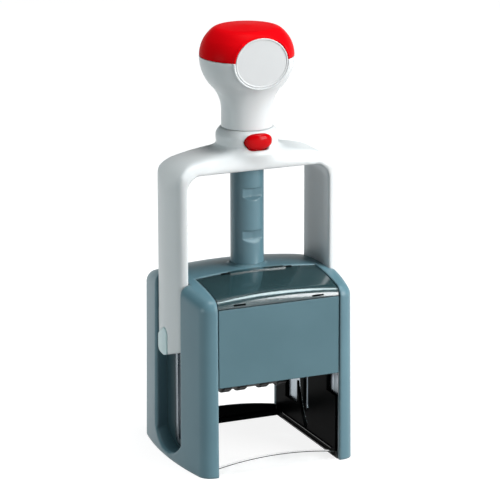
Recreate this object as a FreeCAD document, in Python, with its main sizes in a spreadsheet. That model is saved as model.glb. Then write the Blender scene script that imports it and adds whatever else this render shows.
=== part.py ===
"""Self-inking date stamp: a sprung yoke handle drives an inverting die carrier down inside a moulded casing.

Millimetres. The origin is the middle of the base on the desk, +Z up, the front faces -Y, the yoke's legs
stand at -X and +X. The handle is modelled up, at rest, with the die face turned up against the ink pad.
"""
import FreeCAD, Part
import math
import os
from types import SimpleNamespace

import Sketcher

SIZES = {
    # Casing
    "casing_half_width": 39.8,
    "casing_half_depth": 36.3,
    "casing_side_radius": 166.0,
    "casing_corner": 6.0,
    "casing_edge": 5.4,
    "casing_wall": 2.2,
    "casing_draft": 0.5,
    "crest_z": 85.9,
    "crest_ahead": 4.5,
    "crest_radius": 113.0,
    "arch_radius": 260.0,
    "mouth_step": 0.3,
    "mouth_z": 41.0,
    "boss_flare": 1.9,
    # Side channels for the legs
    "channel_half_width": 14.5,
    "channel_bottom_z": 2.6,
    "channel_bottom_radius": 19.4,
    "channel_wall": 1.6,
    "channel_sill_z": 76.0,
    "channel_foot_radius": 40.0,
    "channel_flare": 1.9,
    "channel_flare_lift": 0.9,
    "channel_flare_slope": 45.0,
    "panel_thickness": 1.8,
    "panel_slot_half_width": 4.2,
    "panel_slot_bottom_z": 4.4,
    "panel_slot_top_z": 58.2,
    "land_half_width": 4.0,
    "land_height": 1.7,
    "land_gap": 0.2,
    "land_slot_low_z": 7.0,
    # Inner frame
    "plate_leg_gap": 2.1,
    "plate_thickness": 1.2,
    "liner_thickness": 1.2,
    "liner_gap": 0.2,
    "frame_front_inset": 4.3,
    "frame_rear": 25.0,
    "liner_rear_inset": 3.2,
    "liner_rear_cut": 13.0,
    "bridge_z": 77.4,
    "bridge_thickness": 1.6,
    "bridge_front": 9.0,
    "bridge_rear": 19.0,
    "window_near_y": 9.7,
    "window_far_y": 22.6,
    "window_low_z": 12.5,
    "window_high_z": 64.0,
    "front_window_near": 22.5,
    "front_window_low_z": 29.0,
    "ledge_width": 1.7,
    "ledge_thickness": 1.6,
    "ledge_top_z": 68.0,
    "sole_lobe_y": 16.4,
    "sole_strip_step": 0.4,
    "sole_thickness": 2.2,
    "strip_thickness": 2.0,
    "strip_end_z": 4.8,
    "strip_radius": 158.0,
    "strip_inset": 1.1,
    "sill_thickness": 2.0,
    "sill_end_z": 3.5,
    "sill_radius": 156.0,
    "sill_inset": 2.1,
    # Front panel and top window
    "front_panel_thickness": 1.85,
    "front_panel_top_z": 76.4,
    "panel_gap": 0.55,
    "hook_reach": 1.9,
    "hook_thickness": 1.1,
    "hook_gap": 0.15,
    "window_low_edge_z": 76.8,
    "window_rear_y": 9.3,
    "window_recess": 0.35,
    "window_thickness": 1.6,
    "lip_half_width": 13.4,
    "lip_depth": 3.0,
    "lip_height": 0.5,
    "shelf_gap": 1.2,
    "shelf_thickness": 1.2,
    # Ink cartridge
    "pad_clearance": 0.6,
    "pad_half_width": 26.0,
    "pad_half_depth": 16.5,
    "pad_thickness": 4.6,
    "tray_side_gap": 0.4,
    "tray_half_depth": 18.4,
    "tray_top_z": 74.6,
    "tray_arm_thickness": 2.4,
    "tray_cap_thickness": 2.0,
    "tray_clearance": 0.3,
    "tray_slot_top_z": 75.0,
    # Guide post
    "post_radius": 7.5,
    "post_bore": 5.6,
    "post_top_z": 146.0,
    "post_flange_radius": 11.0,
    "post_flange_top_z": 81.0,
    "post_floor_z": 88.0,
    "notch_flat_y": 5.9,
    "notch_height": 3.9,
    "notch_lip": 1.6,
    "half_latch_drop": 19.6,
    # Handle travel and die carrier
    "stroke": 39.0,
    "axle_z": 53.5,
    "die_reach": 14.5,
    "die_half_width": 25.0,
    "die_half_depth": 15.0,
    "rubber_thickness": 2.1,
    "die_plate_thickness": 1.8,
    "deck_thickness": 1.6,
    "cheek_inner_x": 23.6,
    "cheek_thickness": 2.0,
    "pivot_boss_radius": 4.0,
    "pivot_boss_gap": 0.6,
    "pin_radius": 1.5,
    "pin_slot_clearance": 0.3,
    "pin_running_clearance": 0.05,
    "cam_radius": 8.8,
    "cam_pin_radius": 1.3,
    "cam_slot_clearance": 0.3,
    # Date wheels and bands
    "wheel_drop": 18.5,
    "wheel_rim_radius": 8.2,
    "wheel_drum_radius": 5.7,
    "wheel_rim_width": 3.6,
    "wheel_tooth_depth": 0.9,
    "wheel_teeth": 16,
    "wheel_gap": 0.3,
    "wheel_axle_radius": 1.5,
    "band_thickness": 1.2,
    "band_side_gap": 0.15,
    "former_radius": 2.6,
    "tens_rim_x": -12.1,
    "units_rim_x": -4.6,
    "month_rim_x": 6.2,
    "year_rim_x": 14.9,
    "spacer_radius": 2.6,
    "band_window_half_width": 18.4,
    "band_window_half_depth": 4.2,
    # Yoke
    "leg_inset": 0.3,
    "leg_thickness": 5.8,
    "leg_half_depth": 14.0,
    "leg_bottom_z": 47.0,
    "leg_corner": 5.2,
    "leg_front_corner": 3.7,
    "foot_turn_y": 2.0,
    "foot_rise": 5.4,
    "leg_edge_round": 3.4,
    "yoke_crown_radius": 50.0,
    "yoke_inner_corner": 6.5,
    "yoke_outer_corner": 13.0,
    "crossbar_arch_radius": 125.0,
    "crossbar_low_z": 131.3,
    "crossbar_top_z": 140.2,
    "crossbar_round": 5.5,
    "collar_radius": 13.75,
    "collar_top_z": 148.6,
    "spigot_radius": 9.8,
    "spigot_height": 9.4,
    "bush_outer": 9.2,
    "bush_length": 6.0,
    "bush_clearance": 0.08,
    "post_room": 0.4,
    "clip_rear_z": 53.7,
    "clip_crest_y": 3.3,
    "clip_crest_z": 59.5,
    "clip_front": 1.2,
    "clip_depth": 3.1,
    "clip_proud": 0.35,
    "clip_play": 0.1,
    # Knob
    "knob_radius": 21.0,
    "knob_neck_radius": 11.4,
    "knob_seam_z": 180.5,
    "knob_waist_z": 156.2,
    "knob_turn_radius": 16.0,
    "knob_turn_z": 167.3,
    "knob_flare_arc": 15.7,
    "knob_belly_arc": 19.1,
    "knob_cap_arc": 15.18,
    "knob_edge_arc": 4.2,
    "knob_bore": 8.6,
    "spigot_room_z": 158.4,
    "knob_hollow_radius": 9.9,
    "knob_crown_z": 194.0,
    "crown_edge_radius": 12.6,
    "crown_edge_z": 193.3,
    "shoulder_radius": 14.6,
    "shoulder_z": 192.88,
    "knob_ceiling_z": 186.5,
    "knob_seam_gap": 0.3,
    "label_half_width": 12.35,
    "label_half_height": 10.95,
    "label_centre_z": 179.85,
    "label_face_y": 16.8,
    "label_rim": 1.05,
    "label_gap": 0.1,
    "label_thickness": 0.85,
    "label_depth": 0.9,
    "cap_plug_radius": 15.0,
    "cap_plug_depth": 3.0,
    # Lock button
    "button_half_width": 6.2,
    "button_half_height": 3.3,
    "button_z": 144.4,
    "button_front": 15.0,
    "button_length": 3.0,
    "button_play": 0.3,
    "button_travel": 1.8,
    "stem_low_z": 138.0,
    "stem_high_z": 146.0,
    "stem_back": 9.9,
    "tongue_high_z": 140.8,
    "tongue_tip": 8.0,
    "pocket_high_z": 147.6,
    "tongue_half_width": 4.4,
    # Main spring and its rod
    "spring_radius": 4.4,
    "spring_wire": 1.2,
    "spring_turns": 11,
    "spring_seat_gap": 0.1,
    "rod_radius": 2.8,
    "rod_low_z": 128.5,
    "crown_wall": 4.3,
    # Screws
    "screw_radius": 1.1,
    "screw_head_radius": 2.2,
    "screw_length": 3.6,
    "screw_head_height": 1.4,
    "screw_inset": 5.0,
    "screw_near_y": 4.0,
    "screw_far_y": 15.0,
    "screw_boss_radius": 3.0,
    "post_screw_radius": 1.9,
    "post_screw_head_radius": 3.4,
    "post_screw_length": 8.4,
}
OVERRUN = 10.0  # how far a cutting block runs past what it cuts

doc = FreeCAD.newDocument("DateStamp")


class Size:
    """A size with its value now and the sheet expression that keeps it true."""

    def __init__(self, value, text):
        self.value = float(value)
        self.text = text

    def __add__(self, other):
        other = as_size(other)
        return Size(self.value + other.value, f"({self.text} + {other.text})")

    def __sub__(self, other):
        other = as_size(other)
        return Size(self.value - other.value, f"({self.text} - {other.text})")

    def __mul__(self, other):
        other = as_size(other)
        return Size(self.value * other.value, f"({self.text} * {other.text})")

    def __truediv__(self, other):
        other = as_size(other)
        return Size(self.value / other.value, f"({self.text} / {other.text})")

    def __neg__(self):
        return Size(-self.value, f"(0 - {self.text})")

    def __radd__(self, other):
        return as_size(other) + self

    def __rsub__(self, other):
        return as_size(other) - self

    def __rmul__(self, other):
        return as_size(other) * self


def as_size(thing):
    return thing if isinstance(thing, Size) else Size(thing, repr(float(thing)))


def root(size):
    return Size(math.sqrt(size.value), f"sqrt({size.text})")


def rise(radius, half_chord):
    """Height of a circular arc over its chord."""
    return radius - root(radius * radius - half_chord * half_chord)


def size_sheet():
    sheet = doc.addObject("Spreadsheet::Sheet", "Sizes")
    for row, (name, number) in enumerate(SIZES.items(), start=1):
        sheet.set(f"A{row}", name)
        sheet.set(f"B{row}", str(number))
        sheet.setAlias(f"B{row}", name)
    doc.recompute()
    return SimpleNamespace(**{name: Size(number, f"Sizes.{name}") for name, number in SIZES.items()})


S = size_sheet()
ZERO = Size(0, "0")
UP, AHEAD, RIGHT = "XY_Plane", "XZ_Plane", "YZ_Plane"  # sketch planes, named for the way that they face


# Sketches and features

def fix_point(sketch, piece, end, x, y):
    """Ties one end of a sketch piece to its place from the origin."""
    for kind, axis, size in (("DistanceX", -2, as_size(x)), ("DistanceY", -1, as_size(y))):
        if size.text == "0" or size.text == "0.0":
            sketch.addConstraint(Sketcher.Constraint("PointOnObject", piece, end, axis))
            continue
        fix_distance(sketch, kind, piece, end, size)


def fix_distance(sketch, kind, piece, end, size):
    made = sketch.addConstraint(Sketcher.Constraint(kind, -1, 1, piece, end, as_size(size).value))
    sketch.setExpression(f"Constraints[{made}]", as_size(size).text)


def fix_arc(sketch, piece, chord, step):
    """Sets an arc's last freedom: its radius, or for a half circle the line that its centre lies on."""
    radius = as_size(step[2])
    radius = radius if radius.value > 0 else -radius
    if chord.Length < 1.98 * radius.value:
        made = sketch.addConstraint(Sketcher.Constraint("Radius", piece, radius.value))
        sketch.setExpression(f"Constraints[{made}]", radius.text)
    elif abs(chord.x) > abs(chord.y):
        fix_distance(sketch, "DistanceY", piece, 3, step[1])
    else:
        fix_distance(sketch, "DistanceX", piece, 3, step[0])


def arc_between(start, end, radius):
    """The short arc from start to end. A positive radius turns left along the way, a negative one right."""
    chord = end - start
    middle = (start + end) * 0.5
    side = FreeCAD.Vector(-chord.y, chord.x, 0).normalize() * (1 if radius > 0 else -1)
    reach = math.sqrt(max(radius * radius - chord.Length * chord.Length / 4, 0))
    centre = middle + side * reach
    low, high = (start, end) if radius > 0 else (end, start)
    return Part.Arc(low, centre - side * abs(radius), high)


def draw_outline(sketch, path):
    """A closed outline: (x, y) is reached by a line, (x, y, radius) by an arc of up to a half circle."""
    places = [FreeCAD.Vector(as_size(step[0]).value, as_size(step[1]).value, 0) for step in path]
    first = sketch.GeometryCount
    for index, step in enumerate(path):
        start, end = places[index - 1], places[index]
        if len(step) == 2:
            sketch.addGeometry(Part.LineSegment(start, end))
        else:
            sketch.addGeometry(arc_between(start, end, as_size(step[2]).value))
    ends = []
    for index, step in enumerate(path):
        piece = sketch.Geometry[first + index]
        near = (piece.EndPoint - places[index]).Length < (piece.StartPoint - places[index]).Length
        ends.append((2, 1) if near else (1, 2))
    for index, step in enumerate(path):
        piece, after = first + index, first + (index + 1) % len(path)
        last_end = ends[index][0]
        next_start = ends[(index + 1) % len(path)][1]
        sketch.addConstraint(Sketcher.Constraint("Coincident", piece, last_end, after, next_start))
        fix_point(sketch, piece, last_end, step[0], step[1])
        if len(step) == 3:
            fix_arc(sketch, piece, places[index] - places[index - 1], step)


def draw_circle(sketch, x, y, radius):
    centre = FreeCAD.Vector(as_size(x).value, as_size(y).value, 0)
    radius = as_size(radius)
    piece = sketch.addGeometry(Part.Circle(centre, FreeCAD.Vector(0, 0, 1), radius.value))
    fix_point(sketch, piece, 3, x, y)
    made = sketch.addConstraint(Sketcher.Constraint("Radius", piece, radius.value))
    sketch.setExpression(f"Constraints[{made}]", radius.text)


def new_sketch(body, plane, shapes, away=ZERO, lift=ZERO):
    """A sketch on one of the body's origin planes, moved away along the plane's normal and lifted in it.

    Each of shapes is a closed outline, a list of steps, or a circle, a tuple of x, y and radius.
    """
    sketch = body.newObject("Sketcher::SketchObject", f"{body.Name}_sketch")
    origin_plane = next(item for item in body.Origin.OriginFeatures if item.Role == plane)
    sketch.AttachmentSupport = [(origin_plane, "")]
    sketch.MapMode = "FlatFace"
    sketch.setExpression("AttachmentOffset.Base.z", as_size(away).text)
    sketch.setExpression("AttachmentOffset.Base.y", as_size(lift).text)
    for shape in shapes:
        if isinstance(shape, tuple):
            draw_circle(sketch, *shape)
        else:
            draw_outline(sketch, shape)
    return sketch


def new_body(name):
    body = doc.addObject("PartDesign::Body", name)
    body.Label = name
    return body


def pad(body, plane, start, length, *shapes, taper=None):
    """Adds the outlines, extruded from start along the plane's normal."""
    feature_sketch = new_sketch(body, plane, shapes, away=start)
    feature = body.newObject("PartDesign::Pad", f"{body.Name}_pad")
    feature.Profile = feature_sketch
    feature.AllowMultiFace = True
    feature.setExpression("Length", as_size(length).text)
    if taper is not None:
        feature.setExpression("TaperAngle", taper.text)
    doc.recompute()
    return feature


def pocket(body, plane, start, length, *shapes):
    """Cuts the outlines, from start along the plane's normal."""
    feature_sketch = new_sketch(body, plane, shapes, away=start)
    feature = body.newObject("PartDesign::Pocket", f"{body.Name}_pocket")
    feature.Profile = feature_sketch
    feature.AllowMultiFace = True
    feature.Reversed = True
    feature.setExpression("Length", as_size(length).text)
    doc.recompute()
    return feature


def revolve(body, *shapes):
    """Turns an outline of radius and height about the vertical axis."""
    feature = body.newObject("PartDesign::Revolution", f"{body.Name}_turn")
    feature_sketch = new_sketch(body, AHEAD, shapes)
    feature.Profile = feature_sketch
    feature.ReferenceAxis = (feature_sketch, ["V_Axis"])
    feature.Angle = 360
    doc.recompute()
    return feature


def round_edges(body, radius, chosen):
    """Rounds the edges of the body's last feature that the test picks out."""
    last = body.Tip
    names = [f"Edge{number}" for number, edge in enumerate(last.Shape.Edges, start=1) if chosen(edge)]
    feature = body.newObject("PartDesign::Fillet", f"{body.Name}_fillet")
    feature.Base = (last, names)
    feature.setExpression("Radius", as_size(radius).text)
    doc.recompute()
    return feature


def boolean(kind, name, base, tool):
    feature = doc.addObject(f"Part::{kind}", name)
    feature.Label = name
    feature.Base = base
    feature.Tool = tool
    return feature


def cut(name, base, tool):
    return boolean("Cut", name, base, tool)


def fuse(name, base, tool):
    return boolean("Fuse", name, base, tool)


def common(name, base, tool):
    return boolean("Common", name, base, tool)


def mirrored(name, source):
    feature = doc.addObject("Part::Mirroring", name)
    feature.Label = name
    feature.Source = source
    feature.Normal = FreeCAD.Vector(1, 0, 0)
    return feature


def solid(name, shape):
    feature = doc.addObject("Part::Feature", name)
    feature.Label = name
    feature.Shape = shape
    return feature


def box(low_x, low_y, high_x, high_y):
    return [(low_x, low_y), (high_x, low_y), (high_x, high_y), (low_x, high_y)]


def rounded_box(low_x, low_y, high_x, high_y, corner):
    return [
        (high_x - corner, low_y), (high_x, low_y + corner, corner), (high_x, high_y - corner),
        (high_x - corner, high_y, corner), (low_x + corner, high_y), (low_x, high_y - corner, corner),
        (low_x, low_y + corner), (low_x + corner, low_y, corner)]


def slot(half_width, low_z, high_z):
    """An upright slot about the middle, with its end centres at low_z and high_z."""
    return [(half_width, high_z), (-half_width, high_z, half_width), (-half_width, low_z),
            (half_width, low_z, half_width)]


# Places that follow from the driving sizes

S.leg_outer_x = S.casing_half_width - S.leg_inset
S.leg_inner_x = S.leg_outer_x - S.leg_thickness
S.plate_outer_x = S.leg_inner_x - S.plate_leg_gap
S.liner_inner_x = S.plate_outer_x - S.plate_thickness - S.liner_gap - S.liner_thickness
S.mouth_half_width = S.liner_inner_x + S.mouth_step
S.sole_strip_x = S.plate_outer_x - S.sole_strip_step
S.tray_half_width = S.liner_inner_x - S.tray_side_gap
S.pivot_boss_outer_x = S.liner_inner_x - S.pivot_boss_gap
S.screw_x = S.liner_inner_x - S.screw_inset
S.frame_front = S.casing_half_depth - S.frame_front_inset
S.strip_rear_y = S.casing_half_depth - S.strip_inset
S.sill_front_y = S.casing_half_depth - S.sill_inset
S.rod_top_z = S.knob_crown_z - S.crown_wall
plate_inner_x = S.plate_outer_x - S.plate_thickness
panel_outer_x = S.plate_outer_x + S.panel_thickness
die_face_z = S.axle_z + S.die_reach
pad_face_z = die_face_z + S.pad_clearance
wheel_z = S.axle_z - S.wheel_drop
tongue_z = (S.stem_low_z + S.tongue_high_z) / 2
bridge_top_z = S.bridge_z + S.bridge_thickness
pin_slot_half = S.pin_radius + S.pin_slot_clearance
cam_slot_half = S.cam_pin_radius + S.cam_slot_clearance
cheek_outer_x = S.cheek_inner_x + S.cheek_thickness
plate_back_z = S.axle_z + S.die_reach - S.rubber_thickness
deck_top_z = plate_back_z - S.die_plate_thickness
BANDS = (("tens", S.tens_rim_x), ("units", S.units_rim_x), ("month", S.month_rim_x), ("year", S.year_rim_x))
TENS_BAND_WIDTH = S.units_rim_x - S.tens_rim_x - S.wheel_rim_width - S.wheel_gap


# Casing

def casing_block(name, inset, low_z):
    """The casing's outer form, drawn in by inset: bowed and drafted sides, domed and arched top."""
    half_depth = S.casing_half_depth - inset
    half_width = S.casing_half_width - inset - rise(S.casing_side_radius, half_depth)
    body = new_body(name)
    plan = [
        (half_width, -half_depth), (half_width, half_depth, S.casing_side_radius),
        (-half_width, half_depth), (-half_width, -half_depth, S.casing_side_radius),
    ]
    pad(body, UP, low_z, S.crest_z + OVERRUN, plan, taper=-S.casing_draft)
    reach = S.casing_half_depth + OVERRUN
    apex = S.arch_radius - inset
    crest = S.crest_radius - inset
    ends = apex - rise(crest, reach)
    over = [
        (-S.crest_ahead - reach, ends), (-S.crest_ahead - reach, apex + OVERRUN * 3),
        (-S.crest_ahead + reach, apex + OVERRUN * 3), (-S.crest_ahead + reach, ends),
        (-S.crest_ahead - reach, ends, crest),
    ]
    sky_sketch = new_sketch(body, RIGHT, [over[1:]], lift=S.crest_z - S.arch_radius)
    sky = body.newObject("PartDesign::Groove", f"{name}_dome")
    sky.Profile = sky_sketch
    sky.ReferenceAxis = (sky_sketch, ["H_Axis"])
    sky.Midplane = True
    sky.Angle = 40
    doc.recompute()
    half_height, top_low = S.crest_z.value * 0.5, S.crest_z.value * 0.75
    round_edges(body, S.casing_corner - inset, lambda edge: edge.BoundBox.ZLength > half_height)
    round_edges(body, S.casing_edge - inset, lambda edge: edge.BoundBox.ZMin > top_low)
    return body


def u_shape(half_width, bottom_z, bottom_radius, top_z):
    """The outline of a channel: straight sides down to a wide round bottom."""
    side_z = bottom_z + rise(bottom_radius, half_width)
    return [(half_width, side_z, bottom_radius), (half_width, top_z), (-half_width, top_z),
            (-half_width, side_z)]


def outer_casing():
    """The moulded outer shell with its leg channels, openings, screw bosses and the ring round the post."""
    block = casing_block("casing_form", ZERO, ZERO)
    cavity = casing_block("casing_cavity", S.casing_wall, as_size(-1.0))
    shell = cut("casing_shell", block, cavity)
    trough = new_body("casing_trough")
    reach = S.casing_half_width - S.plate_outer_x + OVERRUN
    pad(trough, RIGHT, S.plate_outer_x, reach,
        u_shape(S.channel_half_width + S.channel_wall, S.channel_bottom_z - S.channel_wall,
                S.channel_bottom_radius + S.channel_wall, S.crest_z + OVERRUN))
    foot = u_shape(S.channel_half_width + S.channel_wall, ZERO - OVERRUN, S.channel_foot_radius,
                   S.channel_bottom_z + S.channel_wall * 2)
    pad(trough, RIGHT, S.casing_half_width - S.casing_wall * 2, S.casing_wall + OVERRUN, foot)
    troughs = common("casing_troughs", fuse("trough_pair", trough, mirrored("trough_left", trough)), block)
    walls = fuse("casing_walls", shell, troughs)
    corners = screw_places(S.screw_boss_radius)
    bosses = new_body("casing_bosses")
    pad(bosses, UP, bridge_top_z, S.crest_z - bridge_top_z, *corners)
    bosses_in = common("casing_bosses_in", bosses, block)
    hole = S.post_radius + 0.12
    ring_top, ring_low = S.crest_z + S.boss_flare - 0.5, S.crest_z - S.casing_wall
    flare = new_body("casing_flare")
    revolve(flare, [(hole, ring_low), (hole + S.boss_flare, ring_low),
                    (hole + S.boss_flare, S.crest_z - 0.5), (hole + 0.3, ring_top - 0.3, -S.boss_flare),
                    (hole, ring_top - 0.3)])
    whole = fuse("casing_whole", fuse("casing_with_bosses", walls, bosses_in), flare)
    opening = new_body("casing_openings")
    mouth = S.mouth_half_width
    pad(opening, UP, as_size(-1.0), S.crest_z + OVERRUN * 2,
        box(-mouth, -S.casing_half_depth - OVERRUN, mouth, -S.window_rear_y + 0.3))
    pad(opening, UP, as_size(-1.0), S.mouth_z + 1,
        box(-mouth, S.frame_rear, mouth, S.casing_half_depth + OVERRUN))
    slot_low = S.ledge_top_z
    pad(opening, UP, slot_low, S.tray_slot_top_z - slot_low,
        box(-mouth, S.frame_rear, mouth, S.casing_half_depth + OVERRUN))
    pad(opening, UP, bridge_top_z - 1, S.crest_z - bridge_top_z + OVERRUN, (ZERO, ZERO, hole))
    pad(opening, UP, bridge_top_z - 1, S.screw_length - S.bridge_thickness + 1.2,
        *screw_places(S.screw_radius))
    channel = new_body("channel_cut")
    pad(channel, RIGHT, S.plate_outer_x - 1, reach + 1,
        u_shape(S.channel_half_width, S.channel_bottom_z, S.channel_bottom_radius, S.channel_sill_z))
    pad(channel, RIGHT, panel_outer_x, reach,
        box(-S.channel_half_width, S.channel_sill_z - 1, S.channel_half_width, S.crest_z + OVERRUN))
    rim = new_body("channel_rim")
    pad(rim, RIGHT, S.casing_half_width - S.channel_flare, S.channel_flare * 2,
        u_shape(S.channel_half_width, S.channel_bottom_z + S.channel_flare_lift, S.channel_bottom_radius,
                S.crest_z + OVERRUN), taper=S.channel_flare_slope)
    channel_full = fuse("channel_cut_full", channel, rim)
    channels = fuse("channel_cuts", channel_full, mirrored("channel_cut_left", channel_full))
    return cut("outer_casing", whole, fuse("casing_cutters", opening, channels))


def screw_places(radius):
    """A circle at each of the four screws that hold the casing to the bridge."""
    return [(x, y, radius) for x in (S.screw_x, -S.screw_x) for y in (S.screw_near_y, S.screw_far_y)]


def base_sole():
    """The black bottom ring: strips under the frame, lobes in the casing's corners, an arched rear strip."""
    clear = S.casing_wall + 0.2
    half_depth = S.casing_half_depth - clear
    half_width = S.casing_half_width - clear - rise(S.casing_side_radius, half_depth)
    inner, strip, lobe = S.liner_inner_x, S.sole_strip_x, S.sole_lobe_y
    corner = S.casing_corner - S.casing_wall
    rear = half_depth - S.strip_thickness
    body = new_body("base_sole")
    pad(body, UP, ZERO, S.sole_thickness, [
        (inner, -half_depth), (half_width - corner, -half_depth), (half_width, -half_depth + corner, corner),
        (half_width, -lobe), (strip, -lobe), (strip, lobe), (half_width, lobe),
        (half_width, half_depth - corner), (half_width - corner, half_depth, corner),
        (-half_width + corner, half_depth), (-half_width, half_depth - corner, corner), (-half_width, lobe),
        (-strip, lobe), (-strip, -lobe), (-half_width, -lobe), (-half_width, -half_depth + corner),
        (-half_width + corner, -half_depth, corner), (-inner, -half_depth), (-inner, rear), (inner, rear)])
    reach = S.mouth_half_width - 0.4
    pad(body, AHEAD, -S.strip_rear_y, S.strip_thickness,
        [(-reach, ZERO), (reach, ZERO), (reach, S.strip_end_z), (-reach, S.strip_end_z, S.strip_radius)])
    return body


def front_sill():
    body = new_body("front_sill")
    reach = S.liner_inner_x - 0.1
    pad(body, AHEAD, S.sill_front_y - S.sill_thickness, S.sill_thickness,
        [(-reach, ZERO), (reach, ZERO), (reach, S.sill_end_z), (-reach, S.sill_end_z, S.sill_radius)])
    return body


def side_panel():
    body = new_body("right_side_panel")
    gap = as_size(0.3)
    half = S.panel_slot_half_width
    pad(body, RIGHT, S.plate_outer_x, S.panel_thickness,
        u_shape(S.channel_half_width - gap, S.channel_bottom_z + gap, S.channel_bottom_radius - gap,
                S.channel_sill_z - gap),
        slot(half, S.panel_slot_bottom_z + half, S.panel_slot_top_z - half))
    return body


# Inner frame: steel cam plates, black liners, bridge

def cam_slot_outline(half_width):
    """The way that the cam pin takes as the axle drops and the carrier turns over, made half_width wide."""
    steps = 24
    low, high = [], []
    for step in range(steps + 1):
        turn = math.pi * step / steps
        y = S.cam_radius.value * math.sin(turn)
        z = S.axle_z.value - S.stroke.value * turn / math.pi + S.cam_radius.value * math.cos(turn)
        along_y = S.cam_radius.value * math.cos(turn)
        along_z = -S.stroke.value / math.pi - S.cam_radius.value * math.sin(turn)
        length = math.hypot(along_y, along_z)
        side = FreeCAD.Vector(0, -along_z / length, along_y / length) * half_width
        middle = FreeCAD.Vector(0, y, z)
        high.append(middle + side)
        low.append(middle - side)
    edges = []
    for row in (high, low):
        curve = Part.BSplineCurve()
        curve.interpolate(row)
        edges.append(curve.toShape())
    for index, heading in ((0, -1), (-1, 1)):
        a, b = high[index], low[index]
        across = (a - b).normalize()
        forward = FreeCAD.Vector(0, across.z, -across.y) * half_width
        edges.append(Part.Arc(a, (a + b) * 0.5 + forward * heading, b).toShape())
    return Part.Wire(Part.__sortEdges__(edges))


def cam_cutter(name, half_width, start_x, length):
    face = Part.Face(cam_slot_outline(half_width.value))
    face.translate(FreeCAD.Vector(start_x.value, 0, 0))
    return solid(name, face.extrude(FreeCAD.Vector(length.value, 0, 0)))


def cam_plate():
    """The steel side plate, with the raised land that guides the pivot pin and the cam's curved slot."""
    body = new_body("cam_plate_blank")
    corner = as_size(4.0)
    front, rear, low, high = -S.frame_front, S.frame_rear, S.sole_thickness, S.bridge_z
    pad(body, RIGHT, plate_inner_x, S.plate_thickness, [
        (rear, low), (rear, high - corner), (rear - corner, high, corner), (front + corner, high),
        (front, high - corner, corner), (front, low)])
    half, gap = S.land_half_width, S.land_gap
    pad(body, RIGHT, S.plate_outer_x - 0.1, S.land_height + 0.1,
        slot(half, S.panel_slot_bottom_z + gap + half, S.panel_slot_top_z - gap - half))
    pocket(body, RIGHT, plate_inner_x - 1, S.plate_thickness + S.land_height + 2,
           slot(pin_slot_half, S.axle_z - S.stroke, S.axle_z))
    pocket(body, RIGHT, S.plate_outer_x, S.land_height + 1,
           slot(pin_slot_half, S.land_slot_low_z + pin_slot_half, S.axle_z - S.stroke))
    cutter = cam_cutter("cam_plate_slot", cam_slot_half, plate_inner_x - 1, S.plate_thickness + 1)
    return cut("right_cam_plate", body, cutter)


def side_liner():
    """The black inner wall, with its windows, its slots and the ledge that the ink tray slides on."""
    body = new_body("liner_blank")
    front, low = -S.frame_front + 0.2, S.sole_thickness
    rear, slant = S.casing_half_depth - S.liner_rear_inset, S.liner_rear_cut
    high, window_top = S.bridge_z - 0.1, S.window_high_z
    pad(body, RIGHT, S.liner_inner_x, S.liner_thickness, [
        (front, low), (rear, low), (rear, high - slant), (rear - slant, high), (front, high)])
    pad(body, RIGHT, S.liner_inner_x - S.ledge_width, S.ledge_width + 0.2,
        box(-S.tray_half_depth, S.ledge_top_z - S.ledge_thickness, S.frame_rear, S.ledge_top_z))
    start, through = S.liner_inner_x - 1, S.liner_thickness + 2
    pocket(body, RIGHT, start, through, slot(pin_slot_half + 0.6, S.axle_z - S.stroke, S.axle_z))
    pocket(body, RIGHT, start, through,
           box(S.window_near_y, S.window_low_z, S.window_far_y, window_top))
    pocket(body, RIGHT, start, through,
           box(front - 1, S.front_window_low_z, -S.front_window_near, window_top))
    cutter = cam_cutter("liner_slot", cam_slot_half + 0.3, start, through)
    return cut("right_side_liner", body, cutter)


def frame_bridge():
    """The steel cross plate that joins the cam plates and carries the guide post."""
    body = new_body("frame_bridge")
    room = as_size(0.1)
    pad(body, UP, S.bridge_z, S.bridge_thickness,
        box(-S.plate_outer_x, -S.bridge_front, S.plate_outer_x, S.bridge_rear),
        (ZERO, ZERO, S.post_screw_radius + room), *screw_places(S.screw_radius + room))
    return body


def pan_screws(name, places, head_radius, shank_radius, length, head):
    """Pan head screws, heads against the underside of the bridge."""
    body = new_body(name)
    for x, y in places:
        pad(body, UP, S.bridge_z - head, head, (x, y, head_radius))
        pad(body, UP, S.bridge_z - 0.1, length + 0.1, (x, y, shank_radius))
    return body


# Front panel, top window and the shelf under it

def front_panel():
    """The front face sheet, with the flange behind it that hooks behind the casing's columns."""
    half = S.mouth_half_width - S.panel_gap
    low, high = S.mouth_z, S.front_panel_top_z
    sheet = dome_sheet("front_panel_sheet", S.window_recess, S.front_panel_thickness, half,
                       S.casing_half_depth + 1, low, high, S.casing_half_depth - OVERRUN)
    flange = new_body("front_panel_flange")
    back, hook = S.frame_front + S.hook_gap, half + S.hook_reach
    pad(flange, AHEAD, back, S.hook_thickness, box(-hook, low + 2, hook, high - 3))
    pad(flange, AHEAD, back, S.hook_thickness + 0.7, box(-half + 0.2, low + 2, half - 0.2, high - 3))
    return fuse("front_panel", sheet, flange)


def dome_sheet(name, inset, thickness, half_width, front_y, low_z, high_z, rear_y):
    """A curved sheet that follows the casing's outside, inset under it, kept between the given limits."""
    over = casing_block(f"{name}_over", inset, ZERO)
    under = casing_block(f"{name}_under", inset + thickness, as_size(-1.0))
    region = new_body(f"{name}_region")
    pad(region, UP, low_z, high_z - low_z, box(-half_width, -front_y, half_width, -rear_y))
    return common(name, cut(f"{name}_skin", over, under), region)


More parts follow.
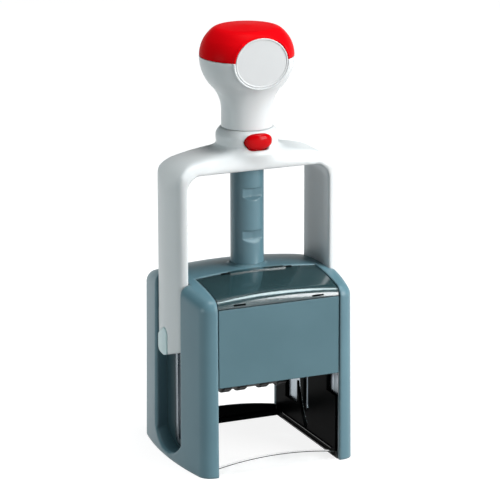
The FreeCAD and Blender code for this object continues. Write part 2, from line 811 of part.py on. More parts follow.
def top_window():
    """The clear top cover that bends over the front edge, with a low lip for the thumb at its rear."""
    half, front, top = S.mouth_half_width - S.panel_gap, S.casing_half_depth + 1, S.crest_z + OVERRUN
    sheet = dome_sheet("top_window_sheet", S.window_recess, S.window_thickness, half, front,
                       S.window_low_edge_z, top, S.window_rear_y)
    lip = dome_sheet("top_window_lip", S.window_recess - S.lip_height, S.lip_height + 0.3,
                     S.lip_half_width, S.window_rear_y + S.lip_depth, S.window_low_edge_z, top,
                     S.window_rear_y)
    return fuse("top_window", sheet, lip)


def index_shelf():
    """The black shelf under the top window that carries the index card."""
    inset = S.window_recess + S.window_thickness + S.shelf_gap
    return dome_sheet("index_shelf", inset, S.shelf_thickness, S.liner_inner_x - 0.1, S.frame_front,
                      S.bridge_z, S.crest_z, S.window_rear_y + 0.2)


# Ink cartridge

def pad_tray():
    """The ink cartridge's tray: it opens downwards round the pad and slides out at the rear."""
    body = new_body("pad_tray_form")
    low = S.ledge_top_z + S.tray_clearance
    high, half = S.tray_top_z, S.tray_half_width
    reach = S.casing_half_depth - S.casing_wall - 0.2
    pad(body, UP, low, high - low, box(-half, -S.tray_half_depth, half, S.tray_half_depth))
    pad(body, UP, high - S.tray_arm_thickness, S.tray_arm_thickness,
        box(-half, S.tray_half_depth - 1, half, reach))
    pad(body, UP, low, high - low, box(-half, reach - 0.2, half, reach + OVERRUN))
    room = as_size(0.1)
    pocket(body, UP, low - 1, S.pad_thickness + pad_face_z - low + 1,
           box(-S.pad_half_width - room, -S.pad_half_depth - room, S.pad_half_width + room,
               S.pad_half_depth + room))
    grip = (high + low) / 2
    grip_face = S.casing_half_depth + OVERRUN
    pocket(body, AHEAD, -grip_face, grip_face - reach - S.tray_cap_thickness + 0.9,
           rounded_box(-half * 0.4, grip - 1.6, half * 0.4, grip + 1.6, as_size(1.2)))
    return common("pad_tray", body, casing_block("pad_tray_skin", as_size(0.3), ZERO))


def ink_pad():
    body = new_body("ink_pad")
    pad(body, UP, pad_face_z, S.pad_thickness,
        rounded_box(-S.pad_half_width, -S.pad_half_depth, S.pad_half_width, S.pad_half_depth,
                    as_size(1.5)))
    return body


# Guide post

def guide_post():
    """The tube that the handle slides on, with a latch notch across its front for each locked height."""
    body = new_body("guide_post")
    chamfer = as_size(0.8)
    hole = S.post_screw_radius
    revolve(body, [
        (hole, bridge_top_z), (S.post_flange_radius, bridge_top_z),
        (S.post_flange_radius, S.post_flange_top_z), (S.post_radius, S.post_flange_top_z),
        (S.post_radius, S.post_top_z - chamfer), (S.post_radius - chamfer, S.post_top_z),
        (S.post_bore, S.post_top_z), (S.post_bore, S.post_floor_z), (hole, S.post_floor_z)])
    flat, outside = S.notch_flat_y, S.post_radius + 2
    for drop in (ZERO, S.half_latch_drop, S.stroke):
        low = tongue_z - drop - S.notch_height / 2
        pocket(body, RIGHT, -S.post_radius, S.post_radius * 2, [
            (-flat, low), (-flat, low + S.notch_height), (-outside, low + S.notch_height),
            (-outside, low - S.notch_lip * 1.5), (-S.post_radius, low - S.notch_lip)])
    return body


# Yoke handle

def plan_form(name, grow):
    """The handle's plan: outer faces of the legs bowed out in the middle."""
    body = new_body(name)
    depth = S.leg_half_depth
    side = S.leg_outer_x + grow
    edge = side - rise(S.yoke_crown_radius, depth)
    crown = S.yoke_crown_radius
    pad(body, UP, S.leg_bottom_z - 1, S.crossbar_top_z - S.leg_bottom_z + OVERRUN, [
        (edge, -depth - grow), (edge, depth + grow, crown), (-edge, depth + grow),
        (-edge, -depth - grow, crown)])
    upright = S.leg_thickness.value
    round_edges(body, S.leg_edge_round + grow, lambda edge_line: edge_line.BoundBox.ZLength > upright)
    return body


def yoke():
    """The white handle: two legs, a crossbar and the collar that the knob stands on."""
    side = new_body("yoke_front_form")
    inner, outer = S.leg_inner_x, S.leg_outer_x
    low, bar, top = S.leg_bottom_z, S.crossbar_low_z, S.crossbar_top_z
    inside, outside, arch = S.yoke_inner_corner, S.yoke_outer_corner, S.crossbar_arch_radius
    depth = S.leg_half_depth
    axis_z = top - arch
    corner_x, corner_reach = outer - outside, arch - outside
    corner_up = root(corner_reach * corner_reach - corner_x * corner_x)
    meet_x, meet_z = corner_x * arch / corner_reach, axis_z + corner_up * arch / corner_reach
    side_z = axis_z + corner_up
    pad(side, AHEAD, -depth, depth * 2, [
        (inner, low), (outer, low), (outer, side_z), (meet_x, meet_z, outside), (-meet_x, meet_z, arch),
        (-outer, side_z, outside), (-outer, low), (-inner, low), (-inner, bar - inside),
        (-inner + inside, bar, -inside), (inner - inside, bar), (inner, bar - inside, -inside)])
    frame = common("yoke_frame", common("yoke_side_and_plan", side, plan_form("yoke_plan_form", ZERO)),
                   yoke_end_form(axis_z))
    collar = new_body("yoke_collar")
    wide, head = S.collar_radius, S.collar_top_z
    spigot_top = head + S.spigot_height
    inner_wall = S.post_radius + S.post_room
    revolve(collar, [
        (inner_wall, bar), (wide - 3, bar), (wide, bar + 3), (wide + 2.2, top - 0.6), (wide, top + 1.6, -2.2),
        (wide, head - 1.6), (wide - 1.6, head, 1.6), (S.spigot_radius, head), (S.spigot_radius, spigot_top),
        (inner_wall, spigot_top)])
    cutter = new_body("yoke_cutter")
    pad(cutter, UP, bar - 1, S.bush_length + 1, (ZERO, ZERO, S.bush_outer))
    pad(cutter, UP, bar + S.bush_length - 1, spigot_top - bar - S.bush_length + 2, (ZERO, ZERO, inner_wall))
    play = S.button_play
    back = S.stem_back - S.button_travel - play
    pad(cutter, AHEAD, back, S.button_front - back + OVERRUN,
        oval(S.button_half_width + play, S.button_half_height + play, S.button_z))
    half = S.tongue_half_width + play
    wall = S.button_front - S.button_length + play
    pad(cutter, AHEAD, S.post_radius - 1, wall - S.post_radius + 1,
        box(-half, S.stem_low_z - play, half, S.pocket_high_z))
    sides = new_body("yoke_side_cuts")
    pad(sides, RIGHT, inner - 1, outer - inner, (ZERO, S.axle_z, S.pin_radius))
    pad(sides, RIGHT, outer - S.clip_depth, S.clip_depth + OVERRUN,
        clip_outline(ZERO, as_size(1.0)))
    both = fuse("yoke_both_side_cuts", sides, mirrored("yoke_side_cuts_left", sides))
    return cut("yoke", fuse("yoke_with_collar", frame, collar), fuse("yoke_cutters", cutter, both))


def yoke_end_form(axis_z):
    """The handle seen from the side: rounded feet, and a crossbar whose rounded edges follow its arch."""
    body = new_body("yoke_end_form")
    outer, depth = S.leg_outer_x, S.leg_half_depth
    corner, roll, arch = S.leg_corner, S.crossbar_round, S.crossbar_arch_radius
    low, top, front_corner = S.leg_bottom_z, S.crossbar_top_z, S.leg_front_corner
    run, toe = depth + S.foot_turn_y, foot_z(-depth)
    slant = root(run * run + S.foot_rise * S.foot_rise)
    reach = front_corner * (slant - S.foot_rise) / run
    pad(body, RIGHT, -outer - 1, outer * 2 + 2, [
        (depth - corner, low), (depth, low + corner, corner), (depth, top + 1), (-depth, top + 1),
        (-depth, toe + reach),
        (-depth + reach * run / slant, toe - reach * S.foot_rise / slant, front_corner),
        (S.foot_turn_y, low)])
    rim = depth + 2
    over = [(-depth, arch - roll), (-depth + roll, arch, -roll), (depth - roll, arch),
            (depth, arch - roll, -roll), (rim, arch - roll), (rim, arch + OVERRUN), (-rim, arch + OVERRUN),
            (-rim, arch - roll)]
    over_sketch = new_sketch(body, RIGHT, [over], lift=axis_z)
    groove = body.newObject("PartDesign::Groove", "yoke_end_arch")
    groove.Profile = over_sketch
    groove.ReferenceAxis = (over_sketch, ["H_Axis"])
    groove.Midplane = True
    groove.Angle = 50
    doc.recompute()
    return body


def oval(half_width, half_height, centre_z):
    """An upright stadium on its side: straight top and bottom, half-round ends."""
    straight = half_width - half_height
    return [(straight, centre_z - half_height), (straight, centre_z + half_height, half_height),
            (-straight, centre_z + half_height), (-straight, centre_z - half_height, half_height)]


def foot_z(y):
    """The height of the leg's underside, which rises from its turn towards the front."""
    return S.leg_bottom_z + (S.foot_turn_y - y) * S.foot_rise / (S.leg_half_depth + S.foot_turn_y)


def clip_outline(shrink, grow):
    """The leg clip seen from the side: its top falls to the rear, its front is rounded, its foot is the leg's.

    Shrink draws in the sides that face the leg, grow moves the outer sides past the leg's own.
    """
    rear, low, foot = S.leg_half_depth + grow, S.leg_bottom_z - grow, S.leg_corner
    front, crest = S.clip_front - shrink, S.clip_crest_z - shrink
    run, fall = S.leg_half_depth - S.clip_crest_y, S.clip_crest_z - S.clip_rear_z
    slant = root(run * run + fall * fall)
    corner = (S.clip_crest_y + front) / (1 + fall / slant)
    return [(rear, low + foot, foot), (rear, crest - fall - grow * fall / run), (S.clip_crest_y, crest),
            (-front, crest - corner * run / slant, corner), (-front, foot_z(-front) - grow),
            (S.foot_turn_y, low), (rear - foot, low)]


def leg_clip():
    """The pale clip that closes the leg over its pivot pin."""
    body = new_body("clip_form")
    pad(body, RIGHT, S.leg_outer_x - S.clip_depth, S.clip_depth + S.clip_proud,
        clip_outline(S.clip_play, ZERO))
    return common("right_leg_clip", body, plan_form("clip_plan_form", S.clip_proud))


def pivot_pin():
    body = new_body("right_pivot_pin")
    pad(body, RIGHT, S.cheek_inner_x, S.leg_outer_x - S.clip_depth - S.cheek_inner_x - 0.1,
        (ZERO, S.axle_z, S.pin_radius))
    return body


def post_bush():
    body = new_body("post_bush")
    bore = S.post_radius + S.bush_clearance
    pad(body, UP, S.crossbar_low_z, S.bush_length, (ZERO, ZERO, S.bush_outer), (ZERO, ZERO, bore))
    return body


# Knob

def knob_outline():
    """Radius and height up the outside of the knob, from its neck to the crown."""
    return [(S.knob_neck_radius, S.collar_top_z + 0.3), (S.knob_neck_radius, S.knob_waist_z),
            (S.knob_turn_radius, S.knob_turn_z, -S.knob_flare_arc)], [
            (S.knob_radius, S.knob_seam_z), (S.shoulder_radius, S.shoulder_z, S.knob_cap_arc),
            (S.crown_edge_radius, S.crown_edge_z, S.knob_edge_arc), (ZERO, S.knob_crown_z)]


def knob_pieces():
    """The white shell up to the seam and the red cap over it, with the label's flat and recess."""
    lower, upper = knob_outline()
    hollow, seam, bore, gap = S.knob_hollow_radius, S.knob_seam_z, S.knob_bore, S.knob_seam_gap
    plug, ledge = S.cap_plug_radius, S.knob_seam_z - S.cap_plug_depth
    low, room = S.collar_top_z + 0.3, S.spigot_room_z
    shell = new_body("knob_shell_form")
    revolve(shell, [(hollow, low), *lower, (S.knob_radius, seam - gap, S.knob_belly_arc),
                    (plug + 0.1, seam - gap), (plug + 0.1, ledge), (bore, ledge), (bore, room),
                    (hollow, room)])
    cap = new_body("knob_cap_form")
    revolve(cap, [*upper, (ZERO, S.rod_top_z), (S.rod_radius, S.rod_top_z),
                  (S.rod_radius, S.knob_ceiling_z), (bore, S.knob_ceiling_z), (bore, ledge + 0.1),
                  (plug, ledge + 0.1), (plug, seam)])
    face = S.label_face_y
    boss = label_form("label_boss", face - 4.0, as_size(5.0), S.label_rim)
    low_half, high_half = new_body("label_low_half"), new_body("label_high_half")
    wide = S.knob_radius + 1
    pad(low_half, UP, low, seam - gap - low, box(-wide, -wide, wide, -plug - 0.1))
    pad(high_half, UP, seam, S.knob_crown_z - seam, box(-wide, -wide, wide, ZERO))
    front = new_body("label_front")
    pad(front, AHEAD, face, S.knob_radius - face + 2, box(-wide, S.knob_waist_z, wide, S.knob_crown_z + 1))
    recess = label_form("label_recess", face - S.label_depth, S.label_depth + 1, S.label_gap)
    shell_full = fuse("knob_shell_full", shell, common("label_boss_low", boss, low_half))
    cap_full = fuse("knob_cap_full", cap, common("label_boss_high", boss, high_half))
    return (cut("knob_shell", cut("knob_shell_flat", shell_full, front), recess),
            cut("knob_cap", cut("knob_cap_flat", cap_full, front), recess))


def label_form(name, start, length, grow):
    """An upright oval disc on the knob's front flat."""
    half_width, half_height = S.label_half_width + grow, S.label_half_height + grow
    feature = doc.addObject("Part::Ellipse", f"{name}_rim")
    feature.setExpression("MajorRadius", half_width.text)
    feature.setExpression("MinorRadius", half_height.text)
    upright = FreeCAD.Rotation(FreeCAD.Vector(1, 0, 0), 90)
    feature.Placement = FreeCAD.Placement(FreeCAD.Vector(0, 0, 0), upright)
    feature.setExpression("Placement.Base.y", (-as_size(start)).text)
    feature.setExpression("Placement.Base.z", S.label_centre_z.text)
    disc = doc.addObject("Part::Extrusion", name)
    disc.Label = name
    disc.Base = feature
    disc.DirMode = "Custom"
    disc.Dir = FreeCAD.Vector(0, -1, 0)
    disc.setExpression("LengthFwd", as_size(length).text)
    disc.Solid = True
    return disc


def label_disc():
    return label_form("label_disc", S.label_face_y - S.label_depth + 0.02, S.label_thickness, ZERO)


def guide_rod():
    """The rod in the knob that keeps the main spring straight."""
    body = new_body("guide_rod")
    nose = as_size(0.8)
    revolve(body, [(ZERO, S.rod_low_z), (S.rod_radius - nose, S.rod_low_z),
                   (S.rod_radius, S.rod_low_z + nose), (S.rod_radius, S.rod_top_z), (ZERO, S.rod_top_z)])
    return body


# Lock button

def lock_button():
    """The red button: a domed oval cap, its stem behind the collar's wall and the latch tongue."""
    body = new_body("lock_button")
    back = S.button_front - S.button_length
    pad(body, AHEAD, back, S.button_length, oval(S.button_half_width, S.button_half_height, S.button_z))
    face = -S.button_front.value + 0.01
    round_edges(body, as_size(1.4), lambda edge: edge.BoundBox.YMax < face)
    half = S.tongue_half_width
    pad(body, AHEAD, S.stem_back, back - S.stem_back + 0.1, box(-half, S.stem_low_z, half, S.stem_high_z))
    pad(body, AHEAD, S.tongue_tip, S.stem_back - S.tongue_tip + 0.1,
        box(-half, S.stem_low_z, half, S.tongue_high_z))
    return body


# Main spring

def two_arcs(start, start_way, end, end_way):
    """Two arcs that leave start and reach end along the given ways."""
    across = end - start
    both = start_way + end_way
    spread = 2 * (1 - start_way.dot(end_way))
    reach = -across.dot(both) + math.sqrt(across.dot(both) ** 2 + spread * across.dot(across))
    reach /= spread
    first, second = start + start_way * reach, end - end_way * reach
    middle = (first + second) * 0.5
    return [arc_by_corner(start, first, middle), arc_by_corner(middle, second, end)]


def arc_by_corner(start, corner, end):
    half = (end - start).Length / 2
    cosine = half / (corner - start).Length
    centre = (start + end) * 0.5
    return Part.Arc(start, centre + (corner - centre) * (cosine / (1 + cosine)), end).toShape()


def coil_point(turn, turns, low, high, radius, end_pitch):
    """A place on the coil and the way it heads there. The first and last turns lie close."""
    open_pitch = (high - low - 2 * end_pitch) / (turns - 2)
    if turn <= 1:
        height, pitch = low + end_pitch * turn, end_pitch
    elif turn >= turns - 1:
        height, pitch = high - end_pitch * (turns - turn), end_pitch
    else:
        height, pitch = low + end_pitch + open_pitch * (turn - 1), open_pitch
    angle = 2 * math.pi * turn
    place = FreeCAD.Vector(radius * math.cos(angle), radius * math.sin(angle), height)
    if turn in (1, turns - 1):
        pitch = (open_pitch + end_pitch) / 2
    way = FreeCAD.Vector(-radius * math.sin(angle), radius * math.cos(angle), pitch / (2 * math.pi))
    return place, way.normalize()


def main_spring():
    wire, radius, turns = S.spring_wire.value, S.spring_radius.value, int(S.spring_turns.value)
    gap = S.spring_seat_gap.value
    low = S.post_floor_z.value + gap + wire / 2
    high = S.knob_ceiling_z.value - gap - wire / 2
    end_pitch = wire + 0.6
    steps = [coil_point(half / 2, turns, low, high, radius, end_pitch) for half in range(2 * turns + 1)]
    edges = []
    for (start, start_way), (end, end_way) in zip(steps, steps[1:]):
        edges += two_arcs(start, start_way, end, end_way)
    path = Part.Wire(edges)
    start, way = steps[0]
    ring = Part.Wire([Part.Circle(start, way, wire / 2).toShape()])
    coil = path.makePipeShell([ring], True, False)
    points = path.discretize(Number=60 * turns)
    apart = min(a.distanceToPoint(b) for i, a in enumerate(points) for b in points[i + 40:]) - wire
    print(f"main spring: {turns} turns, least gap to itself {apart:.2f} mm, "
          f"volume {coil.Volume:.1f} against {path.Length * math.pi * wire ** 2 / 4:.1f}")
    return solid("main_spring", coil)


# Die carrier

def carrier_frame():
    body = new_body("carrier_frame")
    half, deep = S.die_half_width, S.die_half_depth
    deck_low = deck_top_z - S.deck_thickness
    window = box(-S.band_window_half_width, -S.band_window_half_depth, S.band_window_half_width,
                 S.band_window_half_depth)
    pad(body, UP, deck_low, S.deck_thickness, box(-half, -deep, half, deep), window)
    boss = S.pivot_boss_radius
    foot = boss
    lower_z = wheel_z
    for start in (S.cheek_inner_x, -cheek_outer_x):
        pad(body, RIGHT, start, S.cheek_thickness, [
            (deep - 1, deck_low + 0.5), (-deep + 1, deck_low + 0.5), (-boss - 1, S.axle_z - 2),
            (-foot, lower_z), (foot, lower_z, foot), (boss + 1, S.axle_z - 2)])
    for start, length in ((cheek_outer_x - 0.5, S.pivot_boss_outer_x - cheek_outer_x + 0.5),
                          (-S.pivot_boss_outer_x, S.pivot_boss_outer_x - cheek_outer_x + 0.5)):
        pad(body, RIGHT, start, length, (ZERO, S.axle_z, boss))
    pocket(body, RIGHT, -S.pivot_boss_outer_x - 1, S.pivot_boss_outer_x * 2 + 2,
           (ZERO, S.axle_z, S.pin_radius + S.pin_running_clearance))
    pocket(body, RIGHT, -cheek_outer_x - 1, cheek_outer_x * 2 + 2, (ZERO, wheel_z, S.wheel_axle_radius))
    pocket(body, RIGHT, -cheek_outer_x - 1, cheek_outer_x * 2 + 2,
           (ZERO, S.axle_z + S.cam_radius, S.cam_pin_radius))
    return body


def windowed_plate(name, low_z, thickness, half_width, half_depth, corner):
    body = new_body(name)
    grow = as_size(0.1)
    pad(body, UP, low_z, thickness,
        rounded_box(-half_width, -half_depth, half_width, half_depth, as_size(corner)),
        box(-S.band_window_half_width - grow, -S.band_window_half_depth - grow,
            S.band_window_half_width + grow, S.band_window_half_depth + grow))
    return body


def cam_pins():
    body = new_body("cam_pins")
    length = S.plate_outer_x - S.cheek_inner_x - 0.4
    for start in (S.cheek_inner_x, -S.cheek_inner_x - length):
        pad(body, RIGHT, start, length, (ZERO, S.axle_z + S.cam_radius, S.cam_pin_radius))
    return body


def wheel_axle():
    body = new_body("wheel_axle")
    pad(body, RIGHT, -cheek_outer_x, cheek_outer_x * 2, (ZERO, wheel_z, S.wheel_axle_radius))
    return body


def rim_sides(rim_x):
    return rim_x - S.wheel_rim_width / 2, rim_x + S.wheel_rim_width / 2


def drum_start(index):
    """Where the drum of a wheel starts: just after the rim of the wheel before it."""
    if index == 0:
        return rim_sides(BANDS[0][1])[0] - TENS_BAND_WIDTH
    return rim_sides(BANDS[index - 1][1])[1] + S.wheel_gap


def date_wheel(index):
    """A toothed rim for the thumb, with the drum that carries its band beside it."""
    name, rim_x = BANDS[index]
    body = new_body(f"{name}_wheel")
    teeth = int(S.wheel_teeth.value)
    rim_low, _ = rim_sides(rim_x)
    high, low = S.wheel_rim_radius, S.wheel_rim_radius - S.wheel_tooth_depth
    outline = []
    for tooth in range(teeth):
        for part, radius in ((-0.3, high), (0.3, high), (0.5, low)):
            angle = 2 * math.pi * (tooth + part) / teeth - math.pi / 2
            outline.append((radius * math.cos(angle), wheel_z + radius * math.sin(angle)))
    pad(body, RIGHT, rim_low, S.wheel_rim_width, outline)
    start = drum_start(index)
    pad(body, RIGHT, start, rim_low - start + 0.2, (ZERO, wheel_z, S.wheel_drum_radius))
    bore = S.wheel_axle_radius + S.pin_running_clearance
    pocket(body, RIGHT, start - 1, rim_low - start + S.wheel_rim_width + 2, (ZERO, wheel_z, bore))
    return body


def belt_outline(top_z, top_radius, low_z, low_radius):
    """Two rounds joined by their outer tangents, as a list of sketch steps."""
    lean = (low_radius - top_radius) / (top_z - low_z)
    flat = root(1 - lean * lean)
    top_y, top_up = top_radius * flat, top_z + top_radius * lean
    low_y, low_up = low_radius * flat, low_z + low_radius * lean
    return [(top_y, top_up), (ZERO, top_z + top_radius, top_radius), (-top_y, top_up, top_radius),
            (-low_y, low_up), (ZERO, low_z - low_radius, low_radius), (low_y, low_up, low_radius)]


def date_band(index):
    """A rubber type band, stretched from the former at the die face round its wheel's drum."""
    name, rim_x = BANDS[index]
    body = new_body(f"{name}_band")
    start = drum_start(index) + S.band_side_gap
    width = rim_sides(rim_x)[0] - S.wheel_gap - start
    top_z = die_face_z - S.band_thickness - S.former_radius - 0.1
    inner_top, inner_low = S.former_radius + 0.1, S.wheel_drum_radius + S.wheel_gap
    outer = belt_outline(top_z, inner_top + S.band_thickness, wheel_z, inner_low + S.band_thickness)
    inner = belt_outline(top_z, inner_top, wheel_z, inner_low)
    pad(body, RIGHT, start, width, outer, inner)
    return body


def band_former():
    """The round-topped bar that holds the bands up at the die face, fixed between the cheeks."""
    body = new_body("band_former")
    radius = S.former_radius
    top_z = die_face_z - S.band_thickness - radius - 0.1
    pad(body, RIGHT, -S.band_window_half_width, S.band_window_half_width * 2, [
        (radius, top_z - radius * 1.2), (radius, top_z), (ZERO, top_z + radius, radius),
        (-radius, top_z, radius), (-radius, top_z - radius * 1.2)])
    pad(body, RIGHT, -S.cheek_inner_x, S.cheek_inner_x * 2,
        box(-radius * 0.7, top_z - radius * 3.2, radius * 0.7, top_z - radius * 1.1))
    return body


def axle_spacers():
    """Tubes that keep the wheel set in the middle of its axle."""
    body = new_body("axle_spacers")
    bore = S.wheel_axle_radius
    right_start = rim_sides(BANDS[-1][1])[1] + S.wheel_gap
    for start, end in ((-S.cheek_inner_x, drum_start(0) - S.wheel_gap), (right_start, S.cheek_inner_x)):
        pad(body, RIGHT, start, end - start, (ZERO, wheel_z, S.spacer_radius), (ZERO, wheel_z, bore))
    return body


def build():
    shell, cap = knob_pieces()
    panel, plate, liner = side_panel(), cam_plate(), side_liner()
    clip, pin = leg_clip(), pivot_pin()
    corners = [(x, y) for x in (S.screw_x, -S.screw_x) for y in (S.screw_near_y, S.screw_far_y)]
    nodes = [
        outer_casing(), base_sole(), front_sill(), panel, mirrored("left_side_panel", panel), plate,
        mirrored("left_cam_plate", plate), liner, mirrored("left_side_liner", liner), frame_bridge(),
        pan_screws("bridge_screws", corners, S.screw_head_radius, S.screw_radius, S.screw_length,
                   S.screw_head_height),
        pan_screws("post_screw", [(ZERO, ZERO)], S.post_screw_head_radius, S.post_screw_radius,
                   S.post_screw_length, S.screw_head_height),
        front_panel(), top_window(), index_shelf(), pad_tray(), ink_pad(), guide_post(), yoke(),
        clip, mirrored("left_leg_clip", clip), pin, mirrored("left_pivot_pin", pin), post_bush(),
        shell, cap, label_disc(), guide_rod(), lock_button(), main_spring(), carrier_frame(),
        windowed_plate("die_plate", deck_top_z, S.die_plate_thickness, S.die_half_width,
                       S.die_half_depth, 1.0),
        windowed_plate("rubber_die", plate_back_z, S.rubber_thickness, S.die_half_width - 1,
                       S.die_half_depth - 1, 1.0),
        cam_pins(), wheel_axle(), band_former(), axle_spacers(),
    ]
    for index in range(len(BANDS)):
        nodes += [date_wheel(index), date_band(index)]
    return nodes


def check(nodes):
    """Stops the run if anything failed to rebuild, is not a sound solid, or cuts nothing."""
    doc.recompute()
    failed = [item.Name for item in doc.Objects if {"Invalid", "Error"} & set(item.State)]
    if failed:
        raise RuntimeError(f"failed to rebuild: {failed}")
    for item in doc.Objects:
        if item.TypeId in ("PartDesign::Pocket", "PartDesign::Groove"):
            if item.Shape.Volume > item.BaseFeature.Shape.Volume - 1e-3:
                raise RuntimeError(f"{item.Name} cuts nothing")
    for node in nodes:
        if node.Shape.isNull() or not node.Shape.isValid() or not node.Shape.Solids:
            raise RuntimeError(f"{node.Label} is not a sound solid")


def export(nodes):
    os.makedirs("parts", exist_ok=True)
    for node in nodes:
        node.Shape.exportStep(f"parts/{node.Label}.step")
        solids = node.Shape.Solids
        print(f"{node.Label}: {len(solids)} solid(s), {node.Shape.Volume / 1000:.3f} cm3")


pieces = build()
check(pieces)
export(pieces)
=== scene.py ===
"""Looks of the self-inking date stamp: finishes, dressed pieces, fine parts, studio and camera.

Metres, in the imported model's frame: +Z up, the front faces -Y, the desk is z = 0.
"""

import logging
import math
from dataclasses import dataclass
from enum import Enum
from typing import Callable, Iterable, Sequence

import bmesh
import bpy
from mathutils import Matrix, Vector
from mathutils.bvhtree import BVHTree


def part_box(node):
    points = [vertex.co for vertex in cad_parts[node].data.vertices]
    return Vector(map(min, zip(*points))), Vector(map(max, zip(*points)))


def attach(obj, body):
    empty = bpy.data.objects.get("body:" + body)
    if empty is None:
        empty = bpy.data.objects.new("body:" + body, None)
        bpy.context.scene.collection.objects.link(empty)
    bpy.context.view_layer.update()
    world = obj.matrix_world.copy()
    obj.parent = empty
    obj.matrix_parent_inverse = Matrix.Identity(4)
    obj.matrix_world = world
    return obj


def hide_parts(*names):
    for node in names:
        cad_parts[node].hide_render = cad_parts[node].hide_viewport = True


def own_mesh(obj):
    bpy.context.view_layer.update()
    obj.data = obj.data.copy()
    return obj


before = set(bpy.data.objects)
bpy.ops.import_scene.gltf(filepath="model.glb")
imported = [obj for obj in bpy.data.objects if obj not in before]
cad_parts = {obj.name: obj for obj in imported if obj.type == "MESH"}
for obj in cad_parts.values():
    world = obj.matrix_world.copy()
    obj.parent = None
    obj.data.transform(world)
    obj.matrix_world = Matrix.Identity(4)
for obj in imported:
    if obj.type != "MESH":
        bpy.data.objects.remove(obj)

Colour = tuple[float, float, float]
Point = tuple[float, float, float]
log = logging.getLogger("date_stamp")
# A Mix node's two colour inputs and its colour output.
MIX_FIRST, MIX_SECOND, MIX_RESULT = 6, 7, 2
# How close two points lie to be merged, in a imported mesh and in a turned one.
MERGE = 2e-6
HAIRLINE = 1e-7


class Body(Enum):
    """The moving bodies that pieces ride on."""

    CASING = "casing_base"
    HANDLE = "handle"
    BUTTON = "latch_button"
    CARTRIDGE = "ink_cartridge"


class Slot(Enum):
    """The record's material slots."""

    CASING_GREY = "casing_grey"
    PANEL_GREY = "panel_grey"
    CHANNEL_GREY = "channel_grey"
    SMOKED_CLEAR = "smoked_clear"
    SILL_CLEAR = "sill_clear"
    INNER_BLACK = "inner_black"
    FRAME_STEEL = "frame_steel"
    SCREW_STEEL = "screw_steel"
    HANDLE_WHITE = "handle_white"
    KNOB_RED = "knob_red"
    BUTTON_RED = "button_red"
    CLIP_MINT = "clip_mint"
    LABEL_WHITE = "label_white"
    BUSH_DARK = "bush_dark"
    ROD_PLASTIC = "rod_plastic"
    SPRING_STEEL = "spring_steel"
    INK_FELT = "ink_felt"
    DIE_RUBBER = "die_rubber"
    BAND_RUBBER = "band_rubber"
    WHEEL_PLASTIC = "wheel_plastic"
    PIN_STEEL = "pin_steel"


# Node wiring


